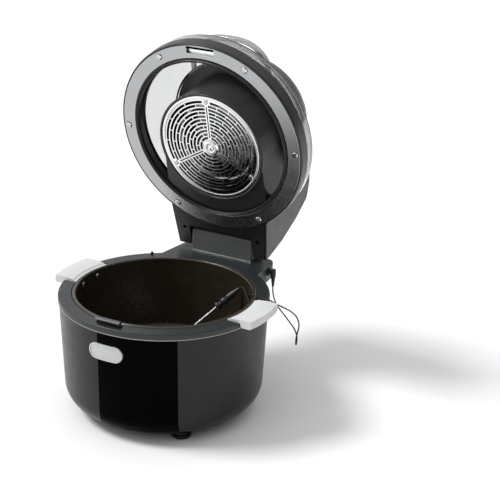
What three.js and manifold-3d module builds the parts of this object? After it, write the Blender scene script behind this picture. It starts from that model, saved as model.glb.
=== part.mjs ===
// Countertop air fryer and multicooker: a drum base with a lift-out pot, and a hinged glass lid that
// carries a fan and a heating coil. Millimetres, +Z up, front towards -Y. The lid stands open.
import * as THREE from 'three';
import { mergeVertices } from 'three/addons/utils/BufferGeometryUtils.js';
import Module from 'manifold-3d';

const wasm = await Module();
wasm.setup();

// ---------------------------------------------------------------- driving dimensions
const CENTRE_Y = -72.5; // drum axis, so that the whole object's box is centred on the origin
const RING_SIDES = 36; // facets round every large turned piece
const SMALL_SIDES = 12; // facets round small turned pieces
const GAP = 0.3; // clearance between pieces that touch

const DRUM_R = 158.6; // drum wall at its top
const DRUM_FOOT_R = 152.2; // drum wall just above the bottom curve
const CURVE_Z = 46; // top of the bottom curve
const CURVE_R = 38; // how far the bottom curve draws in
const DRUM_BOTTOM = 9;
const DRUM_OPEN_R = 98; // opening in the drum's underside, closed by the bottom cover
const DRUM_TOP = 173.8;
const WALL = 2.8;
const FOOT_CIRCLE_R = 116;
const INLET_Z = 61; // middle of the mains inlet

const DECK_Z = 185.3; // top face of the deck round the pot
const DECK_R = 160;
const DECK_BORE_R = 139.9;
const SHELF_BACK = 200; // rear edge of the shelf that carries the hinge
const SHELF_BOTTOM = 158.5;

const POT_R = 133.4;
const POT_RIM_R = 139.3;
const POT_TOP = 186.5;
const POT_FLOOR = 54;
const HANDLE_REACH = 178;

const HINGE_Y = 190.4;
const HINGE_Z = 210.2;
const LID_OPEN = THREE.MathUtils.degToRad(77.2);
const LID_Z = 190.3; // underside of the lid's steel ring when the lid is shut
const LID_R = 159;
const RING_OUT = 156.2;
const RING_IN = 134.6;
const SCREW_CIRCLE_R = 147.9;
const FAN_Y = 15; // fan axis, behind the drum axis
const FAN_CASE_R = 88; // also half the width of the lid's rear arm
const DOME_R = 111;
const DOME_TOP = 150;
const GLASS_TOP = 80;
const KNUCKLE_IN = 57.8;
const SLOT_HALF = 24; // latch slot in the lid

const BUTTON_Z = 145;
const BUTTON_HALF_W = 28.5;
const BUTTON_HALF_H = 12.2;
const PANEL_FROM = -5; // control panel, degrees from the front towards +X
const PANEL_TO = 39;
const PANEL_BOTTOM = 15;

const SWITCH_XY = [-97.8, 117.5]; // the pin that feels the lid shut
const SOCKET_Y = 178;
const SOCKET_Z = 175;
const PLUG_X = 91.5; // the plug's cable leaves straight down here
const CABLE_R = 1.1;

// ---------------------------------------------------------------- finishes
const finish = (color, roughness, metalness = 0) =>
  () => new THREE.MeshStandardMaterial({ color, roughness, metalness });
const satinBlack = finish(0x2b2d2e, 0.45);
const deckSlate = finish(0x3a3f42, 0.5);
const glossBlack = finish(0x050506, 0.08);
const innerBlack = finish(0x17181a, 0.6);
const silver = finish(0xc9cccf, 0.35, 0.6);
const steel = finish(0xb4b7ba, 0.25, 1);
const chrome = finish(0xdedfe0, 0.1, 1);
const nonStick = finish(0x1b1815, 0.35, 0.2);
const greyGrip = finish(0xcfd2d2, 0.7);
const greyPlate = finish(0x55595b, 0.45);
const rubber = finish(0x101112, 0.9);
const aluminium = finish(0x9a9da0, 0.4, 0.9);
const board = finish(0x1f5a38, 0.6);
const smokedGlass = () => new THREE.MeshStandardMaterial({
  color: 0xd9dddd, roughness: 0.05, metalness: 0, transparent: true, opacity: 0.35,
});

// ---------------------------------------------------------------- solid helpers
function solid(geometry) {
  const plain = geometry.clone();
  plain.deleteAttribute('normal');
  plain.deleteAttribute('uv');
  const merged = mergeVertices(plain, 1e-4);
  return new wasm.Manifold(new wasm.Mesh({
    numProp: 3,
    vertProperties: Float32Array.from(merged.attributes.position.array),
    triVerts: Uint32Array.from(merged.index.array),
  }));
}

function geometryOf(body) {
  const { vertProperties, triVerts } = body.getMesh();
  const geometry = new THREE.BufferGeometry();
  geometry.setAttribute('position', new THREE.BufferAttribute(vertProperties, 3));
  geometry.setIndex(new THREE.BufferAttribute(triVerts, 1));
  return geometry;
}

// A piece is a solid or a geometry, with a name and a finish.
function piece(name, shape, material) {
  const body = shape.isBufferGeometry ? solid(shape) : shape;
  const mesh = new THREE.Mesh(geometryOf(body), material());
  mesh.name = name;
  return mesh;
}

const unite = (...bodies) => bodies.reduce((sum, body) => sum.add(body));
const cut = (body, ...tools) => tools.reduce((rest, tool) => rest.subtract(tool), body);

function signedArea(points) {
  return points.reduce((sum, [x, y], i) => {
    const [nx, ny] = points[(i + 1) % points.length];
    return sum + x * ny - nx * y;
  }, 0) / 2;
}

// A closed (radius, height) outline turned about Z. Points on the axis close the ends.
function turned(outline, { sides = RING_SIDES, y = 0 } = {}) {
  const points = signedArea(outline) > 0 ? outline : [...outline].reverse();
  const loop = [...points, points[0]].map(([r, z]) => new THREE.Vector2(r, z));
  return solid(new THREE.LatheGeometry(loop, sides).rotateX(Math.PI / 2).translate(0, y, 0));
}

const disc = (r, z0, z1, options) => turned([[0, z0], [r, z0], [r, z1], [0, z1]], options);
const tubeRing = (r0, r1, z0, z1, options) =>
  turned([[r0, z0], [r1, z0], [r1, z1], [r0, z1]], options);

function outlineShape(points) {
  return new THREE.Shape(points.map(([x, y]) => new THREE.Vector2(x, y)));
}

// An (x, y) outline, or a Shape, raised from z0 to z1.
function raised(outline, z0, z1, curveSegments = 8) {
  const shape = outline instanceof THREE.Shape ? outline : outlineShape(outline);
  const options = { depth: z1 - z0, bevelEnabled: false, curveSegments };
  return solid(new THREE.ExtrudeGeometry(shape, options).translate(0, 0, z0));
}

// A (y, z) outline carried across from x0 to x1.
function across(outline, x0, x1, curveSegments = 8) {
  const shape = outline instanceof THREE.Shape ? outline : outlineShape(outline);
  const options = { depth: x1 - x0, bevelEnabled: false, curveSegments };
  const toRow = new THREE.Matrix4().makeBasis(
    new THREE.Vector3(0, 1, 0), new THREE.Vector3(0, 0, 1), new THREE.Vector3(1, 0, 0));
  const geometry = new THREE.ExtrudeGeometry(shape, options).applyMatrix4(toRow);
  return solid(geometry.translate(x0, 0, 0));
}

function box(x0, x1, y0, y1, z0, z1) {
  return solid(new THREE.BoxGeometry(x1 - x0, y1 - y0, z1 - z0)
    .translate((x0 + x1) / 2, (y0 + y1) / 2, (z0 + z1) / 2));
}

// A round bar between two points, of radius r0 at the first and r1 at the second.
function bar(from, to, r0, r1 = r0, sides = SMALL_SIDES) {
  const start = new THREE.Vector3(...from);
  const end = new THREE.Vector3(...to);
  const along = end.clone().sub(start);
  const geometry = new THREE.CylinderGeometry(r1, r0, along.length(), sides);
  const turn = new THREE.Quaternion().setFromUnitVectors(
    new THREE.Vector3(0, 1, 0), along.clone().normalize());
  return solid(geometry.applyQuaternion(turn).translate(...start.add(end).multiplyScalar(0.5)));
}

function sweep(curve, steps, radius, sides) {
  const section = new THREE.Shape(Array.from({ length: sides }, (_, i) => {
    const angle = (i / sides) * 2 * Math.PI;
    return new THREE.Vector2(radius * Math.cos(angle), radius * Math.sin(angle));
  }));
  return new THREE.ExtrudeGeometry(section, { steps, bevelEnabled: false, extrudePath: curve });
}

// A coil spring about the line through centre along axis 'x', 'y' or 'z'.
class CoilCurve extends THREE.Curve {
  constructor(axis, centre, coilR, length, turns) {
    super();
    Object.assign(this, { axis, centre, coilR, length, turns });
  }

  getPoint(t) {
    const angle = t * this.turns * 2 * Math.PI;
    const a = this.coilR * Math.cos(angle);
    const b = this.coilR * Math.sin(angle);
    const s = (t - 0.5) * this.length;
    const offset = { x: [s, a, b], y: [b, s, a], z: [a, b, s] }[this.axis];
    return new THREE.Vector3(...offset).add(this.centre);
  }
}

function coilSpring(axis, centre, coilR, length, turns, wireR) {
  const curve = new CoilCurve(axis, new THREE.Vector3(...centre), coilR, length, turns);
  return sweep(curve, turns * 8, wireR, 5);
}

const bothSides = (make) => unite(make(-1), make(1));
const ellipsePoint = (cx, cy, rx, ry, degrees) => {
  const angle = THREE.MathUtils.degToRad(degrees);
  return [cx + rx * Math.cos(angle), cy + ry * Math.sin(angle)];
};

// A point on a circle about the drum axis, at an angle from the front towards +X.
function fromFront(r, degrees, y = 0) {
  const angle = THREE.MathUtils.degToRad(degrees);
  return [r * Math.sin(angle), y - r * Math.cos(angle)];
}

// A wedge of space that reaches past the drum between two angles from the front.
function wedge(from, to, z0, z1) {
  const reach = 400;
  return raised([[0, 0], fromFront(reach, from), fromFront(reach, (from + to) / 2),
    fromFront(reach, to)], z0, z1);
}

// A rounded rectangle in (x, y).
function roundedRect(x0, x1, y0, y1, r) {
  const shape = new THREE.Shape();
  shape.moveTo(x0 + r, y0);
  shape.lineTo(x1 - r, y0);
  shape.absarc(x1 - r, y0 + r, r, -Math.PI / 2, 0);
  shape.lineTo(x1, y1 - r);
  shape.absarc(x1 - r, y1 - r, r, 0, Math.PI / 2);
  shape.lineTo(x0 + r, y1);
  shape.absarc(x0 + r, y1 - r, r, Math.PI / 2, Math.PI);
  shape.lineTo(x0, y0 + r);
  shape.absarc(x0 + r, y0 + r, r, Math.PI, 1.5 * Math.PI);
  return shape;
}

// The button's oval, grown by a margin, as a bar of space along Y.
function buttonOval(margin, y0, y1) {
  const r = BUTTON_HALF_H + margin;
  const half = BUTTON_HALF_W + margin;
  const shape = roundedRect(-half, half, BUTTON_Z - r, BUTTON_Z + r, r * 0.999);
  const geometry = new THREE.ExtrudeGeometry(shape, { depth: y1 - y0, bevelEnabled: false,
    curveSegments: 6 });
  return solid(geometry.rotateX(Math.PI / 2).translate(0, y1, 0));
}

// ---------------------------------------------------------------- base
// Outside of the drum at a height: a slight taper, then an elliptical bottom curve.
const wallRadius = (z) =>
  DRUM_FOOT_R + (DRUM_R - DRUM_FOOT_R) * (z - CURVE_Z) / (DRUM_TOP - CURVE_Z);

function drumOutline(offset, bottom, top = DRUM_TOP) {
  const corner = [0, 18, 36, 54, 72, 90].map((a) => ellipsePoint(
    DRUM_FOOT_R - CURVE_R, CURVE_Z, CURVE_R - offset, CURVE_Z - DRUM_BOTTOM - offset, -a));
  return [[wallRadius(top) - offset, top], ...corner, [bottom, DRUM_BOTTOM + offset]];
}

function drumShell() {
  const outer = drumOutline(0, DRUM_OPEN_R);
  const inner = drumOutline(WALL, DRUM_OPEN_R).reverse();
  return turned([...outer, ...inner]);
}

// The layer from out outside the drum's surface to into inside it, between two angles.
function panelSkin(out, into, from, to, z0, z1) {
  const outer = drumOutline(-out, DRUM_OPEN_R, z1);
  const inner = drumOutline(into, DRUM_OPEN_R, z1).reverse();
  return turned([...outer, ...inner]).intersect(wedge(from, to, z0, z1 + 1));
}

function baseShell() {
  const inletWindow = box(-14.4, 14.4, 140, 170, INLET_Z - 11.4, INLET_Z + 11.4);
  const vents = [];
  for (const side of [-1, 1]) {
    for (let i = 0; i < 4; i += 1) {
      const x = side * (34 + i * 9);
      vents.push(box(x - 1.6, x + 1.6, 110, 170, 64, 96));
    }
  }
  const recess = panelSkin(2, 1.9, PANEL_FROM - 0.12, PANEL_TO + 0.12, PANEL_BOTTOM - GAP,
    DRUM_TOP + 1);
  return cut(drumShell(), recess, buttonOval(0.5, -170, -130), inletWindow, ...vents);
}

function controlPanel() {
  const skin = panelSkin(0.3, 1.6, PANEL_FROM, PANEL_TO, PANEL_BOTTOM, DRUM_TOP - GAP);
  return cut(skin, buttonOval(0.5, -170, -130));
}

function bottomCover() {
  const plate = disc(DRUM_OPEN_R - 0.4, DRUM_BOTTOM + GAP, 12);
  const post = disc(8, 11, 33, { sides: SMALL_SIDES });
  const slots = [];
  for (let i = 0; i < 6; i += 1) {
    const x = -40 + i * 16;
    slots.push(box(x - 2, x + 2, -76, -40, 0, 20));
  }
  return cut(unite(plate, post), ...slots);
}

function foot(degrees) {
  const [x, y] = fromFront(FOOT_CIRCLE_R, degrees);
  const profile = [[0, 0], [13.6, 0], [15, 1.2], [15, 3.8], [13.4, 5], [10, 8.7], [0, 8.7]];
  return turned(profile, { sides: SMALL_SIDES }).translate([x, y, 0]);
}

function shelfOutline(inset) {
  const half = 82 - inset;
  const back = SHELF_BACK - inset;
  const r = 8;
  const corner = [0, 30, 60, 90].map((a) => ellipsePoint(half - r, back - r, r, r, a));
  const right = [[88 - inset, 110], [88 - inset, 133], ...corner];
  return [...right, ...right.map(([x, y]) => [-x, y]).reverse()];
}

const socketBore = (r, x0, x1) => bar([x0, SOCKET_Y, SOCKET_Z], [x1, SOCKET_Y, SOCKET_Z], r);

function deck() {
  const bottom = 176.4;
  const underside = 180.2;
  const ring = turned([[DECK_BORE_R, DECK_Z], [158.4, DECK_Z], [DECK_R, DECK_Z - 1.6],
    [DECK_R, bottom], [157, bottom], [157, underside], [142.9, underside], [142.9, 174.8],
    [136.6, 174.8], [136.6, 177.7], [DECK_BORE_R, 177.7]]);
  const beyondDrum = disc(DECK_R - 0.5, 100, bottom);
  const shelf = cut(raised(shelfOutline(0), SHELF_BOTTOM, DECK_Z), beyondDrum,
    disc(150, 100, 200));
  const shelfHollow = cut(raised(shelfOutline(3), SHELF_BOTTOM - 5, underside),
    disc(DECK_R, 100, 200));
  const grips = bothSides((s) => unite(
    box(s < 0 ? -170 : 130, s < 0 ? -130 : 170, -44.5, 44.5, 182.6, 190),
    box(s < 0 ? -170 : 158, s < 0 ? -158 : 170, -44.5, 44.5, 170, 182.7)));
  const latchSlot = box(-22, 22, -150, -142, 170, 190);
  const pinHole = bar([...SWITCH_XY, 170], [...SWITCH_XY, 190], 2.6);
  const pinBolt = bothSides((s) => bar([s * 40, 192, 176], [s * 40, 192, 190], 2.2, 2.2, 8));
  return cut(unite(ring, shelf), shelfHollow, grips, latchSlot, pinHole, pinBolt,
    socketBore(4.9, 70, 95));
}

const shelfCover = () =>
  cut(raised(shelfOutline(3.3), SHELF_BOTTOM, SHELF_BOTTOM + 2.5), disc(160.4, 100, 200));

const trimRing = () => tubeRing(156, 159.4, DRUM_TOP + GAP, 176.1);

function innerLiner() {
  return turned([[136.2, 174.4], [137.2, 174.4], [137.2, 40], [131, 34], [104.6, 34],
    [104.6, 35], [130.6, 35], [136.2, 40.4]], { sides: 24 });
}

function heatingPlate() {
  return turned([[15, 44], [98, 44], [103.5, 46], [103.5, 50], [98, 53.6], [15, 53.6]],
    { sides: 24 });
}

function controlBoard() {
  const plate = box(-35, 35, -142.4, -140.8, 40, 122);
  const chips = unite(box(-20, -8, -144.6, -142, 92, 104), box(6, 26, -145, -142, 60, 74));
  const middle = (PANEL_FROM + PANEL_TO) / 2;
  return unite(plate, chips).rotate([0, 0, middle]);
}

function powerBoard() {
  const plate = box(-60, 60, 30, 96, 17, 18.8);
  const parts = [box(-50, -22, 40, 64, 18.5, 32), box(10, 40, 45, 75, 18.5, 31)];
  return unite(plate, ...parts);
}

function powerInlet() {
  const flange = box(-17.5, 17.5, 154.1, 159.4, INLET_Z - 14, INLET_Z + 14);
  const body = box(-13.9, 13.9, 139.6, 154.4, INLET_Z - 10.9, INLET_Z + 10.9);
  const cavity = box(-11, 11, 142.5, 160, INLET_Z - 7, INLET_Z + 7);
  const pins = [-6, 0, 6].map((x) =>
    box(x - 1, x + 1, 141, 154, INLET_Z - 2.5, INLET_Z + 2.5));
  return unite(cut(unite(flange, body), cavity), ...pins);
}

function probeSocket() {
  const sleeve = socketBore(4.5, 62, 85);
  const flange = socketBore(7.6, 84.6, 85.8);
  return cut(unite(sleeve, flange), socketBore(2.1, 65, 90));
}

// ---------------------------------------------------------------- hinge, fixed half
function hingeCover() {
  const reach = 19.9;
  const corner = 8;
  const side = (inset) => {
    const r = corner - inset;
    const shape = new THREE.Shape();
    shape.moveTo(HINGE_Y - reach + inset, DECK_Z + GAP);
    shape.lineTo(HINGE_Y + reach - inset, DECK_Z + GAP);
    shape.absarc(HINGE_Y + reach - corner, HINGE_Z + reach - corner, r, 0, Math.PI / 2);
    shape.absarc(HINGE_Y - reach + corner, HINGE_Z + reach - corner, r, Math.PI / 2, Math.PI);
    return shape;
  };
  const shell = across(side(0), -54.5, 54.5);
  const inside = across(side(2), -52.5, 52.5).translate([0, 0, -GAP]);
  const openBase = box(-52.5, 52.5, HINGE_Y - reach + 2, HINGE_Y + reach - 2, DECK_Z, DECK_Z + 3);
  return cut(shell, inside, openBase, hingeBore(4.6, -60, 60));
}

const hingeBore = (r, x0, x1) => bar([x0, HINGE_Y, HINGE_Z], [x1, HINGE_Y, HINGE_Z], r);

function hingeBracket() {
  const foot = box(-50, 50, 178, 206, DECK_Z + GAP, DECK_Z + 2.8);
  const ear = new THREE.Shape();
  ear.moveTo(180, DECK_Z + 1);
  ear.lineTo(201, DECK_Z + 1);
  ear.lineTo(201, HINGE_Z);
  ear.absarc(HINGE_Y, HINGE_Z, 10.5, 0, Math.PI);
  const ears = unite(across(ear, -50, -47), across(ear, 47, 50));
  const bolts = bothSides((s) => bar([s * 40, 192, 180], [s * 40, 192, 200], 2.2, 2.2, 8));
  return cut(unite(foot, ears), hingeBore(4.35, -60, 60), bolts);
}

const hingePin = (side) => hingeBore(4, side < 0 ? -78.5 : 40, side < 0 ? -40 : 78.5);
const hingeSpring = (side) =>
  coilSpring('x', [side * 35, HINGE_Y, HINGE_Z], 8, 20, 4, 1.1);

// ---------------------------------------------------------------- button, latch, switch, sensor
function releaseButton() {
  const face = turned([[149, 120], [159.8, 120], [159.8, 170], [149, 170]]);
  const cap = face.intersect(buttonOval(0, -170, -140));
  return cap;
}

const buttonSpring = () => coilSpring('y', [12, -143.2, BUTTON_Z], 3.4, 8.2, 3, 0.6);

function latchHook() {
  const neck = box(-20.5, 20.5, -148, -145.4, 168, 193.8);
  const stem = box(-12, -2, -146.6, -145.4, 138, 170);
  const lip = across([[-154.4, 191.9], [-147, 191.9], [-147, 194.6], [-150, 194.6]], -20.5, 20.5);
  return unite(neck, stem, lip);
}

function lidSwitchPin() {
  const pin = turned([[0, 177], [2.2, 177], [2.2, 189], [1.4, 190], [0, 190]],
    { sides: SMALL_SIDES });
  return pin.translate([...SWITCH_XY, 0]);
}

function sensorPuck() {
  return turned([[0, 47], [14, 47], [14, 49], [12.6, 49], [12.6, 53.2], [11.6, 53.7],
    [0, 53.7]], { sides: SMALL_SIDES });
}

const sensorSpring = () => coilSpring('z', [0, 0, 40], 6.4, 11.6, 3, 0.8);

// ---------------------------------------------------------------- pot
function pot() {
  return turned([[0, POT_FLOOR], [106, POT_FLOOR], [122, 59], [130.6, 74],
    [POT_R, 172], [POT_R, 178.1], [POT_RIM_R, 178.1], [POT_RIM_R, 185], [137.6, POT_TOP],
    [134.4, POT_TOP], [133, 184.6], [133, 172], [129, 75], [121, 61], [105, 56], [0, 56]]);
}

function potHandle(side) {
  const inner = POT_RIM_R + GAP;
  const strip = turned([[inner, 183], [161, 183], [161, 178.6], [163, 176.6],
    [HANDLE_REACH - 2, 176.6], [HANDLE_REACH, 178.6], [HANDLE_REACH, 187.2],
    [HANDLE_REACH - 2, 189], [161, 189], [146, 187.6], [142.4, 185.4], [inner, 185.4]],
  { sides: 2 * RING_SIDES });
  const plan = raised(roundedRect(100, HANDLE_REACH - 1, -41, 41, 7), 170, 195, 4);
  const grip = strip.intersect(plan);
  return side < 0 ? grip.mirror([1, 0, 0]) : grip;
}

// ---------------------------------------------------------------- food probe and its cable
const PROBE_TIP = [-29.8, 25.3, 57.6];
const PROBE_COLLAR = [42.3, 84.1, 136.7];
const PROBE_END = [69.9, 106.6, 167];

const probeNeedle = () => bar(PROBE_TIP, PROBE_COLLAR, 0.9, 1.9, 10);

function probeHandle() {
  const at = (t) => PROBE_COLLAR.map((c, i) => c + (PROBE_END[i] - c) * t);
  return unite(bar(at(0.02), at(0.16), 7, 7, 12), bar(at(0.1), at(0.4), 4.4, 6, 12),
    bar(at(0.38), at(1), 6, 3.4, 12));
}

function probePlug() {
  const barrel = socketBore(4.6, 86.2, PLUG_X);
  const tip = socketBore(1.75, 67, 87);
  const boot = bar([PLUG_X, SOCKET_Y, SOCKET_Z], [PLUG_X, SOCKET_Y, 151], 4.4, 2.4);
  const heel = bar([PLUG_X, SOCKET_Y, SOCKET_Z - 1], [PLUG_X, SOCKET_Y, SOCKET_Z + 4.7], 4.6);
  return unite(barrel, tip, boot, heel);
}

// The cable's route, from the probe over the pot's rim and the deck, down in a hanging loop at the
// right, and up to the plug. It is made in three stretches, because each follows other pieces.
const CABLE_IN_POT = [[70.2, 106.85, 167.3], [72.4, 107.6, 169.2], [75.7, 106, 170.6],
  [80, 102.7, 170.4], [86.5, 96.9, 168], [93.5, 90, 165], [100.2, 82.4, 163],
  [106, 74.8, 162.8], [111, 67.2, 164.8], [114.9, 60.5, 168.6], [117.3, 55.6, 173.2],
  [118.6, 52.8, 178], [119.1, 52, 182.2], [120.2, 51.8, 186.3], [122.4, 51.7, 188],
  [125.6, 51.5, 188.3], [131, 50.8, 188], [135.6, 50.2, 187.4]];
const CABLE_OVER_DECK = [[136, 50.15, 187.35], [140, 49.8, 187], [144, 49.6, 186.8],
  [150, 49.6, 186.7], [156, 49.9, 186.1], [162, 51.2, 183.4], [166, 55, 179.8],
  [169, 63.5, 174.1], [171, 75, 166.6], [171.5, 89.6, 156.8], [170.5, 107.8, 142.2],
  [168.4, 120.8, 127], [166.2, 126.4, 116.3], [163.6, 128.4, 107.2], [161.4, 129.2, 99],
  [160.2, 129.8, 90.5]];
const CABLE_TO_PLUG = [[160.15, 129.9, 90.1], [159.5, 131.3, 84.4], [158.1, 135.4, 81.3],
  [156.7, 139.7, 83.6], [155.5, 142.6, 90.2], [152.4, 144.6, 97.2], [145.4, 147.6, 104],
  [132, 154, 111.4], [119.1, 161, 117.3], [109, 166.4, 121.6], [100.6, 171.6, 126.8],
  [94.9, 175.5, 134], [92, 177.6, 142.4], [PLUG_X, SOCKET_Y, 150.6]];

function cableStretch(route) {
  const curve = new THREE.CatmullRomCurve3(route.map((p) => new THREE.Vector3(...p)),
    false, 'centripetal');
  const steps = Math.round(curve.getLength() / (5 * CABLE_R));
  return sweep(curve, steps, CABLE_R, 8);
}

// ---------------------------------------------------------------- lid, drawn shut
const aboveRing = (outline) => outline.map(([a, z]) => [a, z + LID_Z]);

const lidScrewAngles = [-150, -90, -30, 30, 90, 150];
const screwPoint = (degrees) => fromFront(SCREW_CIRCLE_R, degrees);
const grilleScrewAngles = [0, 120, 240];
const grilleScrewPoint = (degrees) => fromFront(78, degrees, FAN_Y);
const uprightHole = ([x, y], r, z0, z1) => bar([x, y, z0], [x, y, z1], r, r, 8);

function screw([x, y], headR, headZ, length) {
  const shaftR = headR * 0.42;
  const profile = [[0, headZ], [headR * 0.8, headZ], [headR, headZ + 0.7],
    [headR, headZ + 1.4], [shaftR, headZ + 1.4], [shaftR, headZ + length], [0, headZ + length]];
  return turned(profile, { sides: 8 }).translate([x, y, 0]);
}

const latchSlotSpace = (y0, y1, z0, z1) =>
  box(-SLOT_HALF, SLOT_HALF, y0, y1, LID_Z + z0, LID_Z + z1);

function lidRing() {
  const ring = turned(aboveRing([[RING_IN, 0], [155.4, 0], [RING_OUT, 0.8], [RING_OUT, 1.2],
    [RING_IN, 1.2]]));
  const holes = lidScrewAngles.map((a) => uprightHole(screwPoint(a), 2.4, LID_Z - 2, LID_Z + 3));
  return cut(ring, latchSlotSpace(-153, -142, -2, 5), ...holes);
}

// Plan of the arm that joins the lid to its hinge, drawn in by an inset.
function armPlan(inset, front) {
  const right = [[FAN_CASE_R - inset, front], [FAN_CASE_R - inset, 125], [80 - inset, 210]];
  return [...right, ...right.map(([x, y]) => [-x, y]).reverse()];
}

// Side view of the arm, as (y, height above the ring).
function armSide(inset) {
  const under = 0.3 - inset * 9;
  return [[40, under], [203.6 - inset, under], [203 - inset, 14], [197 - inset, 56],
    [183 - inset, 103 - inset * 0.3], [164 - inset, 141 - inset],
    [138 - inset, 149.4 - inset], [40, 149.4 - inset]];
}

const armBlock = (inset, front) =>
  raised(armPlan(inset, front), LID_Z - 40, LID_Z + 200)
    .intersect(across(aboveRing(armSide(inset)), -100, 100));

function lidFrame() {
  const rim = turned(aboveRing([[135, 1.5], [156.5, 1.5], [156.5, 0], [157.4, 0], [158.8, 3],
    [LID_R, 19.7], [128, 19.7], [128, 14], [134.6, 6]]));
  const insideRim = unite(disc(150, LID_Z - 5, LID_Z + 18),
    disc(156.5, LID_Z - 5, LID_Z + 1.5));
  const tongue = cut(raised(armPlan(3.6, 118), LID_Z, LID_Z + 3), insideRim)
    .intersect(box(-100, 100, 100, 199.8, LID_Z - 1, LID_Z + 5));
  const knuckles = bothSides((s) => {
    const [x0, x1] = s < 0 ? [-76, -KNUCKLE_IN] : [KNUCKLE_IN, 76];
    const barrel = bar([x0, HINGE_Y, HINGE_Z], [x1, HINGE_Y, HINGE_Z], 7);
    const web = box(x0, x1, HINGE_Y - 7, HINGE_Y + 7, LID_Z + 0.5, HINGE_Z);
    return unite(barrel, web);
  });
  const notch = box(-57.3, 57.3, 168, 230, LID_Z - 5, LID_Z + 40);
  const ringHoles = lidScrewAngles.map((a) =>
    uprightHole(screwPoint(a), 2.2, LID_Z - 2, LID_Z + 12));
  const plateHoles = bothSides((s) => uprightHole([s * 67, 172], 2.5, LID_Z - 2, LID_Z + 6));
  return cut(unite(rim, tongue, knuckles), notch, hingeBore(4.35, -90, 90),
    latchSlotSpace(-154.9, -141.5, -2, 14), ...ringHoles, plateHoles);
}

function lidGasket() {
  const seal = turned(aboveRing([[129.4, -2.4], [131.4, -3.3], [133.8, -2.4], [134, 4],
    [129.4, 4]]));
  return cut(seal, wedge(111.4, 114.9, LID_Z - 6, LID_Z - 0.2));
}

function lidGlass() {
  const bowl = turned(aboveRing([[150, 20], [158, 20], [157.2, 39], [154.8, 44.6], [150, 48],
    [122, 77.6], [116, GLASS_TOP], [90, GLASS_TOP], [90, 76], [115, 76], [119.4, 74.4],
    [147.4, 44.6], [151.2, 41.6], [153.2, 37], [153.8, 24], [150, 24]]));
  const fanOpening = disc(107, LID_Z + 60, LID_Z + 100, { y: FAN_Y });
  const armOpening = box(-88.6, 88.6, 0, 200, LID_Z, LID_Z + 100);
  return cut(bowl, fanOpening, armOpening);
}

// The dome over the fan motor, grown by a margin. Its foot stands just above the glass.
function dome(margin, bottom) {
  return turned(aboveRing([[0, bottom], [DOME_R + margin, bottom],
    [DOME_R - 2 + margin, 92], [99 + margin, 132], [93 + margin, 145 + margin],
    [84 + margin, DOME_TOP + margin], [0, DOME_TOP + margin]]), { y: FAN_Y });
}

function topHousing() {
  const skin = WALL;
  const arm = cut(armBlock(0, 40), disc(130, LID_Z - 50, LID_Z + 80.3));
  const shell = unite(arm, dome(0, 80.3));
  const armHollow = cut(armBlock(skin, 60), disc(130, LID_Z - 50, LID_Z + 83));
  const hollow = unite(armHollow, dome(-skin, 83.2),
    disc(86, LID_Z + 78, LID_Z + 84, { y: FAN_Y }));
  const overRim = disc(LID_R + 0.5, LID_Z - 50, LID_Z + 20.1);
  const hingeRoom = bar([-57.5, HINGE_Y, HINGE_Z], [57.5, HINGE_Y, HINGE_Z], 33, 33, 32);
  const louvres = [];
  for (let i = 0; i < 5; i += 1) {
    const z = LID_Z + 66 + i * 9;
    louvres.push(box(-42, 42, 150, 215, z - 1.7, z + 1.7));
  }
  return cut(shell, hollow, overRim, hingeRoom, ...louvres);
}

// The arched handle in front of the dome. Its plan is a squared ellipse, fuller at the shoulders.
function lidHandle() {
  const width = 7;
  const [middleY, halfX, halfY, fullness] = [-60, 72, 75, 2.6];
  const soft = (value) => Math.sign(value) * Math.abs(value) ** (2 / fullness);
  const arch = (inset) => Array.from({ length: 40 }, (_, i) => {
    const [x, y] = ellipsePoint(0, 0, 1, 1, i * 9).map(soft);
    return [(halfX - inset) * x, middleY + (halfY - inset) * y];
  });
  const strap = cut(raised(arch(0), LID_Z + 80.6, LID_Z + 91),
    raised(arch(width), LID_Z + 70, LID_Z + 100));
  return cut(strap, dome(GAP, 80), box(-80, 80, middleY, 40, LID_Z + 70, LID_Z + 100));
}

// The fan's case: a round chamber, carried back to the lid's rear wall with straight sides.
function caseSpace(inset, z0, z1) {
  const r = FAN_CASE_R - inset;
  const round = disc(r, LID_Z + z0, LID_Z + z1, { y: FAN_Y });
  const tail = box(-r, r, FAN_Y, 140, LID_Z + z0, LID_Z + z1);
  return unite(round, tail).intersect(disc(127.2 - inset, LID_Z + z0, LID_Z + z1));
}

function fanHousing() {
  const chamber = disc(84, LID_Z - 5, LID_Z + 58, { y: FAN_Y });
  const above = caseSpace(3, 61, 90);
  const behind = cut(caseSpace(3, 5.5, 70), disc(87, LID_Z, LID_Z + 61, { y: FAN_Y }));
  const bosses = grilleScrewAngles.map((a) =>
    uprightHole(grilleScrewPoint(a), 6.5, LID_Z + 2.5, LID_Z + 16));
  const holes = grilleScrewAngles.map((a) =>
    uprightHole(grilleScrewPoint(a), 2, LID_Z - 5, LID_Z + 13));
  const shell = cut(caseSpace(0, 2.5, 79.9), chamber, above, behind);
  return cut(unite(shell, ...bosses), uprightHole([0, FAN_Y], 6, LID_Z + 50, LID_Z + 70),
    ...holes);
}

function grille() {
  const plate = disc(87.2, LID_Z + 0.5, LID_Z + 2.1, { y: FAN_Y });
  const slots = [];
  for (const r of [20, 38, 56]) {
    const ring = tubeRing(r, r + 12, LID_Z - 1, LID_Z + 4, { sides: 24, y: FAN_Y });
    const ribs = [];
    for (let i = 0; i < 6; i += 1) {
      ribs.push(box(-1.6, 1.6, 0, 90, LID_Z - 2, LID_Z + 5).rotate([0, 0, i * 60])
        .translate([0, FAN_Y, 0]));
    }
    slots.push(cut(ring, ...ribs));
  }
  const holes = grilleScrewAngles.map((a) =>
    uprightHole(grilleScrewPoint(a), 1.9, LID_Z - 2, LID_Z + 5));
  return cut(plate, ...slots, ...holes);
}

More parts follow.
